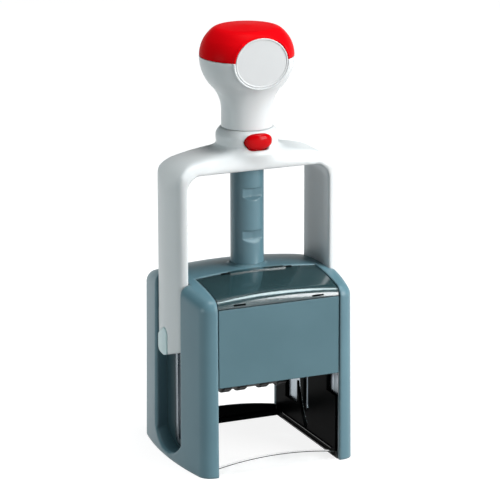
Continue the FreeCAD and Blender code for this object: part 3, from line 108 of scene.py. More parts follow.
class Wiring:
    """A node material being wired up, with the principled shader at its end."""

    bevel_samples: int = 8
    edge_turn: float = 0.86

    def __init__(self, name: str) -> None:
        """Starts an empty material.

        Args:
            name: The material's name.
        """
        self.material = bpy.data.materials.new(name)
        self.material.use_nodes = True
        self.tree = self.material.node_tree
        self.shader = self.tree.nodes["Principled BSDF"]
        self.place = self.node("ShaderNodeTexCoord").outputs["Object"]

    def node(self, kind: str, **settings: object) -> bpy.types.Node:
        """Adds a node.

        Args:
            kind: The node's type name.
            settings: Properties set on the node.

        Returns:
            The new node.
        """
        made = self.tree.nodes.new(kind)
        for key, value in settings.items():
            setattr(made, key, value)
        return made

    def join(self, source: bpy.types.NodeSocket, target: bpy.types.NodeSocket) -> None:
        """Links one socket to another."""
        self.tree.links.new(source, target)

    def stretched(self, scale: Point) -> bpy.types.NodeSocket:
        """Object coordinates drawn out along the axes.

        Args:
            scale: The factor along each axis.

        Returns:
            The mapped vector.
        """
        mapping = self.node("ShaderNodeMapping")
        mapping.inputs["Scale"].default_value = scale
        self.join(self.place, mapping.inputs["Vector"])
        return mapping.outputs["Vector"]

    def noise(self, scale: float, detail: float = 2.0, rough: float = 0.5,
              vector: bpy.types.NodeSocket | None = None) -> bpy.types.NodeSocket:
        """Adds noise over the object.

        Args:
            scale: Cells to the metre.
            detail: Octaves.
            rough: How strong the fine octaves are.
            vector: Where to read it, or None for plain object coordinates.

        Returns:
            The noise, from 0 to 1.
        """
        made = self.node("ShaderNodeTexNoise")
        made.inputs["Scale"].default_value = scale
        made.inputs["Detail"].default_value = detail
        made.inputs["Roughness"].default_value = rough
        self.join(vector or self.place, made.inputs["Vector"])
        return made.outputs["Fac"]

    def span(self, value: bpy.types.NodeSocket, low: float, high: float, to_low: float = 0.0,
             to_high: float = 1.0) -> bpy.types.NodeSocket:
        """Maps low..high to to_low..to_high, held at both ends.

        Args:
            value: What to map.
            low: The start of the range that is read.
            high: Its end.
            to_low: The result at low.
            to_high: The result at high.

        Returns:
            The mapped value.
        """
        made = self.node("ShaderNodeMapRange", interpolation_type="SMOOTHSTEP")
        for key, number in zip(("From Min", "From Max", "To Min", "To Max"), (low, high, to_low, to_high)):
            made.inputs[key].default_value = number
        self.join(value, made.inputs["Value"])
        return made.outputs["Result"]

    def sums(self, operation: str, first: bpy.types.NodeSocket,
             second: bpy.types.NodeSocket | float) -> bpy.types.NodeSocket:
        """Joins two values by one arithmetic step.

        Args:
            operation: The Math node's operation.
            first: The first value.
            second: The second, a socket or a number.

        Returns:
            The result.
        """
        made = self.node("ShaderNodeMath", operation=operation)
        self.join(first, made.inputs[0])
        if isinstance(second, (int, float)):
            made.inputs[1].default_value = second
        else:
            self.join(second, made.inputs[1])
        return made.outputs["Value"]

    def blend(self, factor: bpy.types.NodeSocket, first: bpy.types.NodeSocket | Colour,
              second: bpy.types.NodeSocket | Colour) -> bpy.types.NodeSocket:
        """Mixes two colours.

        Args:
            factor: 0 for the first, 1 for the second.
            first: A socket or a colour.
            second: A socket or a colour.

        Returns:
            The mixed colour.
        """
        made = self.node("ShaderNodeMix", data_type="RGBA")
        self.join(factor, made.inputs["Factor"])
        for key, colour in ((MIX_FIRST, first), (MIX_SECOND, second)):
            if isinstance(colour, tuple):
                made.inputs[key].default_value = (*colour, 1.0)
            else:
                self.join(colour, made.inputs[key])
        return made.outputs[MIX_RESULT]

    def rounded(self, radius: float) -> tuple[bpy.types.NodeSocket, bpy.types.NodeSocket]:
        """The normal with edges rounded off, and how close to an edge a place is.

        Args:
            radius: The edge radius in metres.

        Returns:
            The normal and the closeness, from 0 on a flat to 1 on an edge.
        """
        bevel = self.node("ShaderNodeBevel", samples=self.bevel_samples)
        bevel.inputs["Radius"].default_value = radius
        plain = self.node("ShaderNodeNewGeometry").outputs["Normal"]
        turn = self.node("ShaderNodeVectorMath", operation="DOT_PRODUCT")
        self.join(bevel.outputs["Normal"], turn.inputs[0])
        self.join(plain, turn.inputs[1])
        return bevel.outputs["Normal"], self.span(turn.outputs["Value"], 1.0, self.edge_turn)

    def relief(self, height: bpy.types.NodeSocket, depth: float,
               normal: bpy.types.NodeSocket | None = None) -> bpy.types.NodeSocket:
        """Bumps the surface.

        Args:
            height: The height field, from 0 to 1.
            depth: Its full height in metres.
            normal: The normal to start from, if not the surface's own.

        Returns:
            The bumped normal.
        """
        made = self.node("ShaderNodeBump")
        made.inputs["Strength"].default_value = 1.0
        made.inputs["Distance"].default_value = depth
        self.join(height, made.inputs["Height"])
        if normal is not None:
            self.join(normal, made.inputs["Normal"])
        return made.outputs["Normal"]

    def set(self, **values: object) -> None:
        """Sets constants on the shader's own sockets, spaces in their names written as underscores."""
        for key, value in values.items():
            self.shader.inputs[key.replace("_", " ")].default_value = value

    def drive(self, **sources: bpy.types.NodeSocket) -> None:
        """Links sockets to the shader's inputs, spaces in their names written as underscores."""
        for key, source in sources.items():
            self.join(source, self.shader.inputs[key.replace("_", " ")])


# Finishes


@dataclass(frozen=True)
class Finish:
    """A surface finish for one of the record's slots."""

    name: str
    slot: Slot
    colour: Colour

    def wire(self, wiring: Wiring) -> None:
        """Wires the finish's nodes. Each kind of finish has its own."""
        raise NotImplementedError

    def material(self) -> bpy.types.Material:
        """The finish's material, made once.

        Returns:
            The material.
        """
        known = bpy.data.materials.get(self.name)
        if known is not None:
            return known
        wiring = Wiring(self.name)
        self.wire(wiring)
        wiring.material.diffuse_color = (*self.colour, 1.0)
        return wiring.material


@dataclass(frozen=True)
class MouldedPlastic(Finish):
    """Injection-moulded plastic: fine spark grain, slight flow clouds, and edges tinted towards an edge
    colour that stands for rubbing on some finishes and for painted edge highlight or painted edge shade on
    others.
    """

    shade: Colour = (0.1, 0.1, 0.1)
    # Edge colour: rubbing; lighter on the casing and post as a painted edge highlight, near-black on the
    # panel and channel as painted edge shade.
    wear_and_edge_light_colour: Colour = (0.5, 0.5, 0.5)
    rough: float = 0.42
    grain: float = 3200.0
    grain_depth: float = 0.000004
    edge: float = 0.0004
    # How strongly edges take the edge colour: rubbing together with painted edge light.
    wear_and_edge_light_share: float = 0.3
    coat: float = 0.0
    scatter: float = 0.0
    gloss: float = 0.5
    cloud_scale: float = 34.0
    mark_scale: float = 260.0
    specks: float = 0.2
    polish_swing: float = 0.015
    edge_polish: float = 0.06
    swell_scale: float = 90.0
    swell_depth: float = 0.00002
    index: float = 1.46
    coat_rough: float = 0.08
    scatter_reach: float = 0.0006
    scatter_share: Colour = (1.0, 0.9, 0.8)

    def wire(self, wiring: Wiring) -> None:
        """Wires clouds, grain, the edge tint (rubbing mixed with painted edge light and shade) and polish.

        Args:
            wiring: The material being wired.
        """
        clouds = wiring.noise(self.cloud_scale, 3.0)
        grain = wiring.noise(self.grain, 2.0, 0.6)
        marks = wiring.noise(self.mark_scale, 4.0, 0.7)
        normal, near_edge = wiring.rounded(self.edge)
        base = wiring.blend(wiring.span(clouds, 0.3, 0.72), self.colour, self.shade)
        specks = wiring.sums("MULTIPLY", wiring.span(grain, 0.55, 0.8), self.specks)
        base = wiring.blend(specks, base, self.shade)
        # Edge tint, in patches: partly rubbing, partly painted edge highlight and painted edge shade,
        # depending on the finish.
        patchy = wiring.sums("MULTIPLY", near_edge, wiring.span(marks, 0.3, 0.7))
        wear_and_edge_light = wiring.sums("MULTIPLY", patchy, self.wear_and_edge_light_share)
        base = wiring.blend(wear_and_edge_light, base, self.wear_and_edge_light_colour)
        polish = wiring.span(marks, 0.25, 0.75, self.rough - self.polish_swing,
                             self.rough + self.polish_swing)
        rough = wiring.sums("SUBTRACT", polish, wiring.sums("MULTIPLY", near_edge, self.edge_polish))
        swell = wiring.relief(wiring.noise(self.swell_scale, 1.0), self.swell_depth, normal)
        wiring.drive(Base_Color=base, Roughness=rough, Normal=wiring.relief(grain, self.grain_depth, swell))
        wiring.set(IOR=self.index, Coat_Weight=self.coat, Coat_Roughness=self.coat_rough,
                   Subsurface_Weight=self.scatter, Subsurface_Radius=self.scatter_share,
                   Subsurface_Scale=self.scatter_reach, Specular_IOR_Level=self.gloss)


@dataclass(frozen=True)
class ClearPlastic(Finish):
    """Clear or smoked plastic with fine scuffs and painted shade along its edges."""

    rough: float = 0.05
    see_through: float = 1.0
    index: float = 1.4
    coat: float = 0.0
    coat_rough: float = 0.22
    coat_index: float = 1.7
    edge: float = 0.0003
    painted_edge_shade: Colour = (0.01, 0.02, 0.02)
    edge_from: float = 0.0
    edge_fade: float = 0.0002
    scuff_scale: float = 60.0
    scuff_run: Point = (1.0, 9.0, 1.0)
    scuff_rough: float = 0.12
    tint_scale: float = 45.0
    tint_deep: float = 0.86
    wave_scale: float = 110.0
    wave_depth: float = 0.00001

    def wire(self, wiring: Wiring) -> None:
        """Wires the tint with its uneven depth, the scuffs, and the painted edge shade above edge_from: dark
        rims that stand in for the shade seen in clear plastic's edges.

        Args:
            wiring: The material being wired.
        """
        scuffs = wiring.noise(self.scuff_scale, 5.0, 0.7, wiring.stretched(self.scuff_run))
        depth = wiring.span(wiring.noise(self.tint_scale, 2.0), 0.3, 0.7)
        deep = tuple(part * self.tint_deep for part in self.colour)
        normal, near_edge = wiring.rounded(self.edge)
        split = wiring.node("ShaderNodeSeparateXYZ")
        wiring.join(wiring.place, split.inputs["Vector"])
        above = wiring.span(split.outputs["Z"], self.edge_from - self.edge_fade, self.edge_from)
        # Painted edge shade: rims above edge_from are darkened in colour.
        dark = wiring.sums("MULTIPLY", near_edge, above)
        tint = wiring.blend(depth, self.colour, deep)
        wiring.drive(Base_Color=wiring.blend(dark, tint, self.painted_edge_shade),
                     Roughness=wiring.span(scuffs, 0.55, 0.8, self.rough, self.rough + self.scuff_rough),
                     Normal=wiring.relief(wiring.noise(self.wave_scale, 1.0), self.wave_depth, normal))
        wiring.set(Transmission_Weight=self.see_through, IOR=self.index, Coat_Weight=self.coat,
                   Coat_Roughness=self.coat_rough, Coat_IOR=self.coat_index)


@dataclass(frozen=True)
class Steel(Finish):
    """Rolled, turned or drawn steel with its working marks."""

    rough: float = 0.26
    drawn: Point = (60.0, 900.0, 12.0)
    mark_depth: float = 0.0000004
    stain_scale: float = 70.0
    stain: float = 0.72
    edge: float = 0.0002
    bright: Colour = (0.9, 0.9, 0.9)
    edge_shine: float = 0.5
    smoother: float = 0.07
    rougher: float = 0.1

    def wire(self, wiring: Wiring) -> None:
        """Wires the working marks, faint stain and bright edges.

        Args:
            wiring: The material being wired.
        """
        lines = wiring.noise(1.0, 3.0, 0.6, wiring.stretched(self.drawn))
        stain = wiring.noise(self.stain_scale, 4.0, 0.6)
        normal, near_edge = wiring.rounded(self.edge)
        dull = tuple(part * self.stain for part in self.colour)
        base = wiring.blend(wiring.span(stain, 0.4, 0.75), self.colour, dull)
        base = wiring.blend(wiring.sums("MULTIPLY", near_edge, self.edge_shine), base, self.bright)
        wiring.drive(Base_Color=base, Normal=wiring.relief(lines, self.mark_depth, normal),
                     Roughness=wiring.span(lines, 0.3, 0.7, self.rough - self.smoother,
                                           self.rough + self.rougher))
        wiring.set(Metallic=1.0)


@dataclass(frozen=True)
class Rubber(Finish):
    """Moulded rubber: matt, dusty, with a fine pebble."""

    dust: Colour = (0.3, 0.3, 0.3)
    dusty: float = 0.35
    dust_scale: float = 420.0
    pebble_scale: float = 2600.0
    pebble_depth: float = 0.00003
    edge: float = 0.0002
    edge_dust: float = 0.2
    rough: tuple[float, float] = (0.55, 0.75)
    index: float = 1.5
    sheen: float = 0.1

    def wire(self, wiring: Wiring) -> None:
        """Wires the pebble and the dust.

        Args:
            wiring: The material being wired.
        """
        pebble = wiring.noise(self.pebble_scale, 2.0)
        patches = wiring.span(wiring.noise(self.dust_scale, 5.0, 0.7), 0.5, 0.75)
        dust = wiring.sums("MULTIPLY", patches, self.dusty)
        normal, near_edge = wiring.rounded(self.edge)
        base = wiring.blend(dust, self.colour, self.dust)
        base = wiring.blend(wiring.sums("MULTIPLY", near_edge, self.edge_dust), base, self.dust)
        wiring.drive(Base_Color=base, Normal=wiring.relief(pebble, self.pebble_depth, normal),
                     Roughness=wiring.span(pebble, 0.3, 0.7, *self.rough))
        wiring.set(IOR=self.index, Sheen_Weight=self.sheen)


@dataclass(frozen=True)
class Felt(Finish):
    """Inked felt: tangled fibre with wet and dry patches."""

    fibre: Colour = (0.1, 0.1, 0.12)
    fibre_scale: float = 1500.0
    fibre_depth: float = 0.0002
    wet_scale: float = 120.0
    rough: tuple[float, float] = (0.5, 0.9)
    sheen: float = 0.3
    sheen_rough: float = 0.5

    def wire(self, wiring: Wiring) -> None:
        """Wires the fibres and the wet patches.

        Args:
            wiring: The material being wired.
        """
        fibres = wiring.noise(self.fibre_scale, 5.0, 0.75)
        wet = wiring.noise(self.wet_scale, 3.0)
        base = wiring.blend(wiring.span(fibres, 0.45, 0.7), self.colour, self.fibre)
        wiring.drive(Base_Color=base, Normal=wiring.relief(fibres, self.fibre_depth),
                     Roughness=wiring.span(wet, 0.35, 0.65, *self.rough))
        wiring.set(Sheen_Weight=self.sheen, Sheen_Roughness=self.sheen_rough)


# Casing and post: their light edge colour is partly rubbing, partly a painted edge highlight for light caught
# on rounded edges.
CASING = MouldedPlastic("moulded grey-teal", Slot.CASING_GREY, (0.124, 0.236, 0.282),
                        shade=(0.112, 0.214, 0.258), wear_and_edge_light_colour=(0.36, 0.48, 0.52), rough=0.36,
                        edge=0.0018, gloss=0.42)
POST = MouldedPlastic("moulded post grey", Slot.CASING_GREY, (0.124, 0.236, 0.282),
                      shade=(0.112, 0.214, 0.258), wear_and_edge_light_colour=(0.42, 0.56, 0.60), rough=0.3,
                      edge=0.0009, wear_and_edge_light_share=0.3, gloss=0.5)
# Panel and channel: their near-black edge colour is painted edge shade, the dark outlines along their seams
# and edges.
PANEL = MouldedPlastic("moulded panel grey", Slot.PANEL_GREY, (0.108, 0.198, 0.233),
                       shade=(0.096, 0.180, 0.212), wear_and_edge_light_colour=(0.012, 0.022, 0.025), rough=0.33,
                       edge=0.0005, wear_and_edge_light_share=0.9, gloss=0.25)
CHANNEL = MouldedPlastic("dark channel grey", Slot.CHANNEL_GREY, (0.032, 0.064, 0.076),
                         shade=(0.026, 0.054, 0.065), wear_and_edge_light_colour=(0.003, 0.006, 0.007), rough=0.36,
                         edge=0.0005, wear_and_edge_light_share=1.0, gloss=0.25)
BLACK = MouldedPlastic("inner black", Slot.INNER_BLACK, (0.003, 0.004, 0.004), shade=(0.005, 0.006, 0.0065),
                       wear_and_edge_light_colour=(0.04, 0.045, 0.05), rough=0.3, gloss=0.008)
WHITE = MouldedPlastic("handle white", Slot.HANDLE_WHITE, (0.78, 0.79, 0.795), shade=(0.755, 0.77, 0.775),
                       wear_and_edge_light_colour=(0.86, 0.86, 0.86), rough=0.34, scatter=0.12, wear_and_edge_light_share=0.15, gloss=0.4)
KNOB_RED = MouldedPlastic("knob red", Slot.KNOB_RED, (0.80, 0.002, 0.006), shade=(0.74, 0.002, 0.005),
                          wear_and_edge_light_colour=(0.86, 0.02, 0.03), rough=0.38, wear_and_edge_light_share=0.2, gloss=0.02)
BUTTON_RED = MouldedPlastic("button red", Slot.BUTTON_RED, (0.66, 0.0005, 0.003), shade=(0.59, 0.0005, 0.003),
                            wear_and_edge_light_colour=(0.7, 0.01, 0.02), rough=0.2, coat=0.16, wear_and_edge_light_share=0.2, gloss=0.03)
MINT = MouldedPlastic("clip mint", Slot.CLIP_MINT, (0.62, 0.80, 0.81), shade=(0.59, 0.77, 0.78),
                      wear_and_edge_light_colour=(0.80, 0.92, 0.92), rough=0.3, grain_depth=0.000002, gloss=0.5)
LABEL = MouldedPlastic("bare label", Slot.LABEL_WHITE, (0.69, 0.695, 0.70), shade=(0.665, 0.67, 0.675),
                       wear_and_edge_light_colour=(0.85, 0.85, 0.85), rough=0.3, grain=5200.0, grain_depth=0.000002, gloss=0.4)
BUSH = MouldedPlastic("bush dark grey", Slot.BUSH_DARK, (0.03, 0.03, 0.032), shade=(0.04, 0.04, 0.042),
                      wear_and_edge_light_colour=(0.1, 0.1, 0.1), rough=0.45)
ROD = MouldedPlastic("rod light grey", Slot.ROD_PLASTIC, (0.52, 0.53, 0.54), shade=(0.48, 0.49, 0.50),
                     wear_and_edge_light_colour=(0.65, 0.65, 0.65), rough=0.4)
WHEEL = MouldedPlastic("wheel black", Slot.WHEEL_PLASTIC, (0.005, 0.005, 0.0055), shade=(0.007, 0.007, 0.008),
                       wear_and_edge_light_colour=(0.05, 0.05, 0.05), rough=0.36, edge=0.00025, gloss=0.15)
# Smoked window and sill: the dark rims from the clear finish are painted edge shade.
SMOKED = ClearPlastic("smoked clear", Slot.SMOKED_CLEAR, (0.045, 0.110, 0.124), rough=0.08, see_through=0.5,
                      coat=0.8, edge=0.0005)
SILL = ClearPlastic("clear sill", Slot.SILL_CLEAR, (0.985, 0.99, 0.99), rough=0.02, index=1.03,
                    edge_from=0.0012)
FRAME_STEEL = Steel("stamped steel", Slot.FRAME_STEEL, (0.36, 0.41, 0.45))
SCREW_STEEL = Steel("screw steel", Slot.SCREW_STEEL, (0.45, 0.46, 0.48), rough=0.34,
                    drawn=(900.0, 900.0, 900.0))
SPRING_STEEL = Steel("spring wire", Slot.SPRING_STEEL, (0.50, 0.51, 0.53), rough=0.25,
                     drawn=(300.0, 300.0, 1500.0))
PIN_STEEL = Steel("ground pin", Slot.PIN_STEEL, (0.72, 0.73, 0.75), rough=0.16, drawn=(3000.0, 80.0, 80.0))
DIE_RUBBER = Rubber("stamp rubber", Slot.DIE_RUBBER, (0.085, 0.065, 0.060), dust=(0.2, 0.17, 0.16))
BAND_RUBBER = Rubber("band rubber", Slot.BAND_RUBBER, (0.009, 0.009, 0.009), dust=(0.04, 0.038, 0.036))
INK_FELT = Felt("inked felt", Slot.INK_FELT, (0.006, 0.006, 0.012), fibre=(0.03, 0.03, 0.05))

BEAD_BLACK = MouldedPlastic("polished bead black", Slot.INNER_BLACK, (0.004, 0.006, 0.007),
                            shade=(0.006, 0.008, 0.009), wear_and_edge_light_colour=(0.05, 0.06, 0.06), rough=0.16, gloss=0.6)
# Painted shade: the dark bead along the clear sill's upper edge.
PAINTED_SILL_SHADE = MouldedPlastic("painted sill shade", Slot.SILL_CLEAR, (0.05, 0.055, 0.055), shade=(0.03, 0.035, 0.035),
                           wear_and_edge_light_colour=(0.1, 0.1, 0.1), rough=0.3, gloss=0.1)

HOUSING_FINISHES: dict[str, Finish] = {
    "outer_casing": CASING, "guide_post": POST, "front_panel": PANEL, "right_side_panel": CHANNEL,
    "left_side_panel": CHANNEL, "base_sole": BLACK, "right_side_liner": BLACK, "left_side_liner": BLACK,
    "index_shelf": BLACK, "top_window": SMOKED, "front_sill": SILL, "right_cam_plate": FRAME_STEEL,
    "left_cam_plate": FRAME_STEEL, "frame_bridge": FRAME_STEEL, "bridge_screws": SCREW_STEEL,
    "post_screw": SCREW_STEEL,
}
HANDLE_FINISHES: dict[str, Finish] = {
    "right_pivot_pin": PIN_STEEL, "left_pivot_pin": PIN_STEEL, "post_bush": BUSH, "guide_rod": ROD,
}
WORKS_FINISHES: dict[str, Finish] = {
    "carrier_frame": BLACK, "die_plate": BLACK, "rubber_die": DIE_RUBBER, "cam_pins": PIN_STEEL,
    "wheel_axle": PIN_STEEL, "band_former": BLACK, "axle_spacers": BLACK, "pad_tray": BLACK,
    "tens_wheel": WHEEL, "tens_band": BAND_RUBBER, "units_wheel": WHEEL, "units_band": BAND_RUBBER,
    "month_wheel": WHEEL, "month_band": BAND_RUBBER, "year_wheel": WHEEL, "year_band": BAND_RUBBER,
}


# Mesh work


def read_node(name: str) -> bmesh.types.BMesh:
    """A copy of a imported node's mesh with its loose triangles merged.

    Args:
        name: The node.

    Returns:
        The merged copy.
    """
    mesh = bmesh.new()
    mesh.from_mesh(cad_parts[name].data)
    bmesh.ops.remove_doubles(mesh, verts=mesh.verts, dist=MERGE)
    return mesh


def put(mesh: bmesh.types.BMesh, name: str, body: Body, finish: Finish, smooth: float = 35.0,
        replaces: Sequence[str] = ()) -> bpy.types.Object:
    """Turns a worked mesh into a finished piece that rides on a body.

    Args:
        mesh: The worked mesh, which is used up.
        name: The piece's name.
        body: What it rides on.
        finish: Its surface.
        smooth: The angle in degrees over which an edge stays sharp.
        replaces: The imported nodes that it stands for.

    Returns:
        The new piece.
    """
    data = bpy.data.meshes.new(name)
    mesh.to_mesh(data)
    mesh.free()
    data.materials.append(finish.material())
    data.shade_smooth()
    data.set_sharp_from_angle(angle=math.radians(smooth))
    piece = bpy.data.objects.new(name, data)
    bpy.context.scene.collection.objects.link(piece)
    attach(piece, body.value)
    if replaces:
        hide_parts(*replaces)
    log.info("%s: %d faces, on %s", name, len(data.polygons), body.value)
    return piece


def dress(finishes: dict[str, Finish]) -> None:
    """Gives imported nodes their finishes.

    Args:
        finishes: The finish of each node by its name.
    """
    for name, finish in finishes.items():
        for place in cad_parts[name].material_slots:
            place.material = finish.material()
        log.info("%s: dressed in %s", name, finish.name)


def modified(mesh: bmesh.types.BMesh, kind: str, **settings: object) -> bmesh.types.BMesh:
    """Runs a mesh through one modifier.

    Args:
        mesh: The mesh, which is used up.
        kind: The modifier's type.
        settings: Properties set on the modifier.

    Returns:
        The result.
    """
    data = bpy.data.meshes.new("work")
    mesh.to_mesh(data)
    mesh.free()
    holder = bpy.data.objects.new("work", data)
    bpy.context.scene.collection.objects.link(holder)
    modifier = holder.modifiers.new("work", kind)
    for key, value in settings.items():
        setattr(modifier, key, value)
    baked = bpy.data.meshes.new_from_object(holder.evaluated_get(bpy.context.evaluated_depsgraph_get()))
    bpy.data.objects.remove(holder)
    made = bmesh.new()
    made.from_mesh(baked)
    bpy.data.meshes.remove(baked)
    return made


def melt(mesh: bmesh.types.BMesh, verts: Sequence[bmesh.types.BMVert], rounds: int = 1) -> None:
    """Draws points halfway towards their neighbours.

    Args:
        mesh: The points' mesh.
        verts: The points.
        rounds: How often.
    """
    for _ in range(rounds):
        bmesh.ops.smooth_vert(mesh, verts=verts, factor=0.5, use_axis_x=True, use_axis_y=True,
                              use_axis_z=True)


def softened(name: str, voxel: float, rounds: int, chosen: Callable[[Vector], bool]) -> bmesh.types.BMesh:
    """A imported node's form with its edges melted, as a moulding has them.

    Args:
        name: The node.
        voxel: The grid of the new skin in metres.
        rounds: How often the chosen places are smoothed.
        chosen: Tells from a place whether it is smoothed.

    Returns:
        The softened mesh.
    """
    mesh = modified(read_node(name), "REMESH", mode="VOXEL", voxel_size=voxel)
    melt(mesh, mesh.verts)
    melt(mesh, [vert for vert in mesh.verts if chosen(vert.co)], rounds)
    return mesh


def oval_face(mesh: bmesh.types.BMesh, half_width: float, half_height: float, centre: Point,
              steps: int, squareness: float = 2.0) -> bmesh.types.BMFace:
    """An upright oval face that looks forward.

    Args:
        mesh: Where to make it.
        half_width: Half its width.
        half_height: Half its height.
        centre: Its centre.
        steps: Points round it.
        squareness: 2 for an ellipse, more for a fuller oval.

    Returns:
        The face.
    """
    made = bmesh.ops.create_circle(mesh, cap_ends=True, segments=steps, radius=1.0)
    for vert in made["verts"]:
        x, z = (math.copysign(abs(part) ** (2.0 / squareness), part) for part in (vert.co.x, vert.co.y))
        vert.co = Vector((centre[0] + x * half_width, centre[1], centre[2] + z * half_height))
    face = made["verts"][0].link_faces[0]
    face.normal_update()
    if face.normal.y > 0:
        face.normal_flip()
    return face


def raise_face(mesh: bmesh.types.BMesh, face: bmesh.types.BMFace, inset: float, rise: float) -> None:
    """Insets a face and moves what is inside forward.

    Args:
        mesh: The face's mesh.
        face: The face, which stays the inner one.
        inset: How far its rim moves in.
        rise: How far it moves towards the front.
    """
    bmesh.ops.inset_region(mesh, faces=[face], thickness=inset, use_even_offset=True)
    bmesh.ops.translate(mesh, verts=face.verts, vec=(0.0, -rise, 0.0))


# Sub-assemblies


@dataclass
class Housing:
    """The casing with its front panel, top window, sill and side channels."""

    bead_points: int = 16
    bead_x: float = 0.02885
    bead_heights: tuple[float, float] = (0.0009, 0.0034)
    bead_front: float = -0.0285
    bead_rear: float = 0.0255
    bead_radius: float = 0.0004
    sill_end_z: float = 0.0035
    sill_bead: float = 0.00019
    sill_points: int = 10
    sill_steps: int = 48
    # Where the rays that find the window's top and front start from.
    above_z: float = 0.12
    ahead_y: float = -0.06
    lug_x: float = 0.0152
    lug_in: float = 0.0012
    lug_half: Point = (0.0017, 0.0006, 0.0005)
    dash_x: float = 0.0187
    dash_above: float = 0.0011
    dash_half: Point = (0.0028, 0.00012, 0.00042)
    block_round: float = 0.6
    block_steps: int = 3

    def build(self) -> None:
        """Dresses the housing and adds its fine parts."""
        dress(HOUSING_FINISHES)
        self.painted_sill_shade_line()
        self.window_lugs_and_slot_shade()
        self.sole_beads()

    def sole_beads(self) -> None:
        """The moulded beads low on the inner side walls, front to rear."""
        mesh = bmesh.new()
        for side in (-1, 1):
            for height in self.bead_heights:
                middle = Vector((side * self.bead_x, (self.bead_front + self.bead_rear) / 2, height))
                place = Matrix.Translation(middle) @ Matrix.Rotation(math.pi / 2, 4, "X")
                bmesh.ops.create_cone(mesh, cap_ends=True, segments=self.bead_points,
                                      radius1=self.bead_radius, radius2=self.bead_radius,
                                      depth=self.bead_rear - self.bead_front, matrix=place)
        put(mesh, "sole_beads", Body.CASING, BEAD_BLACK)

    def painted_sill_shade_line(self) -> None:
        """A dark bead along the clear sill's arched upper edge: painted shade that stands in for the dark
        line seen where light bends in that edge.
        """
        low, high = (Vector(corner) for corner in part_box("front_sill"))
        reach, rise = (high.x - low.x) / 2, high.z - self.sill_end_z
        radius = (reach ** 2 + rise ** 2) / (2 * rise)
        half_turn = math.asin(reach / radius)
        centre = Vector((0.0, low.y + self.sill_bead, high.z - radius - self.sill_bead * 0.5))
        mesh = bmesh.new()
        ring = bmesh.ops.create_circle(mesh, cap_ends=True, segments=self.sill_points, radius=self.sill_bead)
        place = Matrix.Translation(centre) @ Matrix.Rotation(-half_turn, 4, "Y")
        bmesh.ops.transform(mesh, verts=ring["verts"], matrix=place @ Matrix.Translation((0.0, 0.0, radius))
                            @ Matrix.Rotation(math.pi / 2, 4, "Y"))
        bmesh.ops.spin(mesh, geom=list(mesh.verts) + list(mesh.edges) + list(mesh.faces), cent=centre,
                       axis=(0, 1, 0), angle=2 * half_turn, steps=self.sill_steps, use_duplicate=False)
        bmesh.ops.remove_doubles(mesh, verts=mesh.verts, dist=HAIRLINE)
        bmesh.ops.recalc_face_normals(mesh, faces=mesh.faces)
        put(mesh, "painted_sill_shade_line", Body.CASING, PAINTED_SILL_SHADE)

    def window_lugs_and_slot_shade(self) -> None:
        """Two lugs beside the window's thumb lip, and two black blocks low on its front that are painted
        shade standing in for the dark of two slots.
        """
        window = read_node("top_window")
        tree = BVHTree.FromBMesh(window)
        rear = max(vert.co.y for vert in window.verts)
        foot = min(vert.co.z for vert in window.verts)
        window.free()
        mesh = bmesh.new()
        for side in (-1, 1):
            above = Vector((side * self.lug_x, rear - self.lug_in, self.above_z))
            top = tree.ray_cast(above, Vector((0, 0, -1)))[0]
            if top is not None:
                self.block(mesh, top, self.lug_half)
            # Painted slot shade: a black block where the window's front shows a dark slot.
            ahead = Vector((side * self.dash_x, self.ahead_y, foot + self.dash_above))
            face = tree.ray_cast(ahead, Vector((0, 1, 0)))[0]
            if face is not None:
                self.block(mesh, face, self.dash_half)
        put(mesh, "window_lugs_and_slot_shade", Body.CASING, BLACK, smooth=30.0)

    def block(self, mesh: bmesh.types.BMesh, centre: Vector, half: Point) -> None:
        """Adds a small block with rounded edges.

        Args:
            mesh: Where to add it.
            centre: Its centre.
            half: Half its size along each axis.
        """
        place = Matrix.Translation(centre) @ Matrix.Diagonal((*half, 1.0))
        made = bmesh.ops.create_cube(mesh, size=2.0, matrix=place)
        edges = list({edge for vert in made["verts"] for edge in vert.link_edges})
        bmesh.ops.bevel(mesh, geom=edges, offset=min(half) * self.block_round, segments=self.block_steps,
                        profile=0.5, affect="EDGES", material=-1)


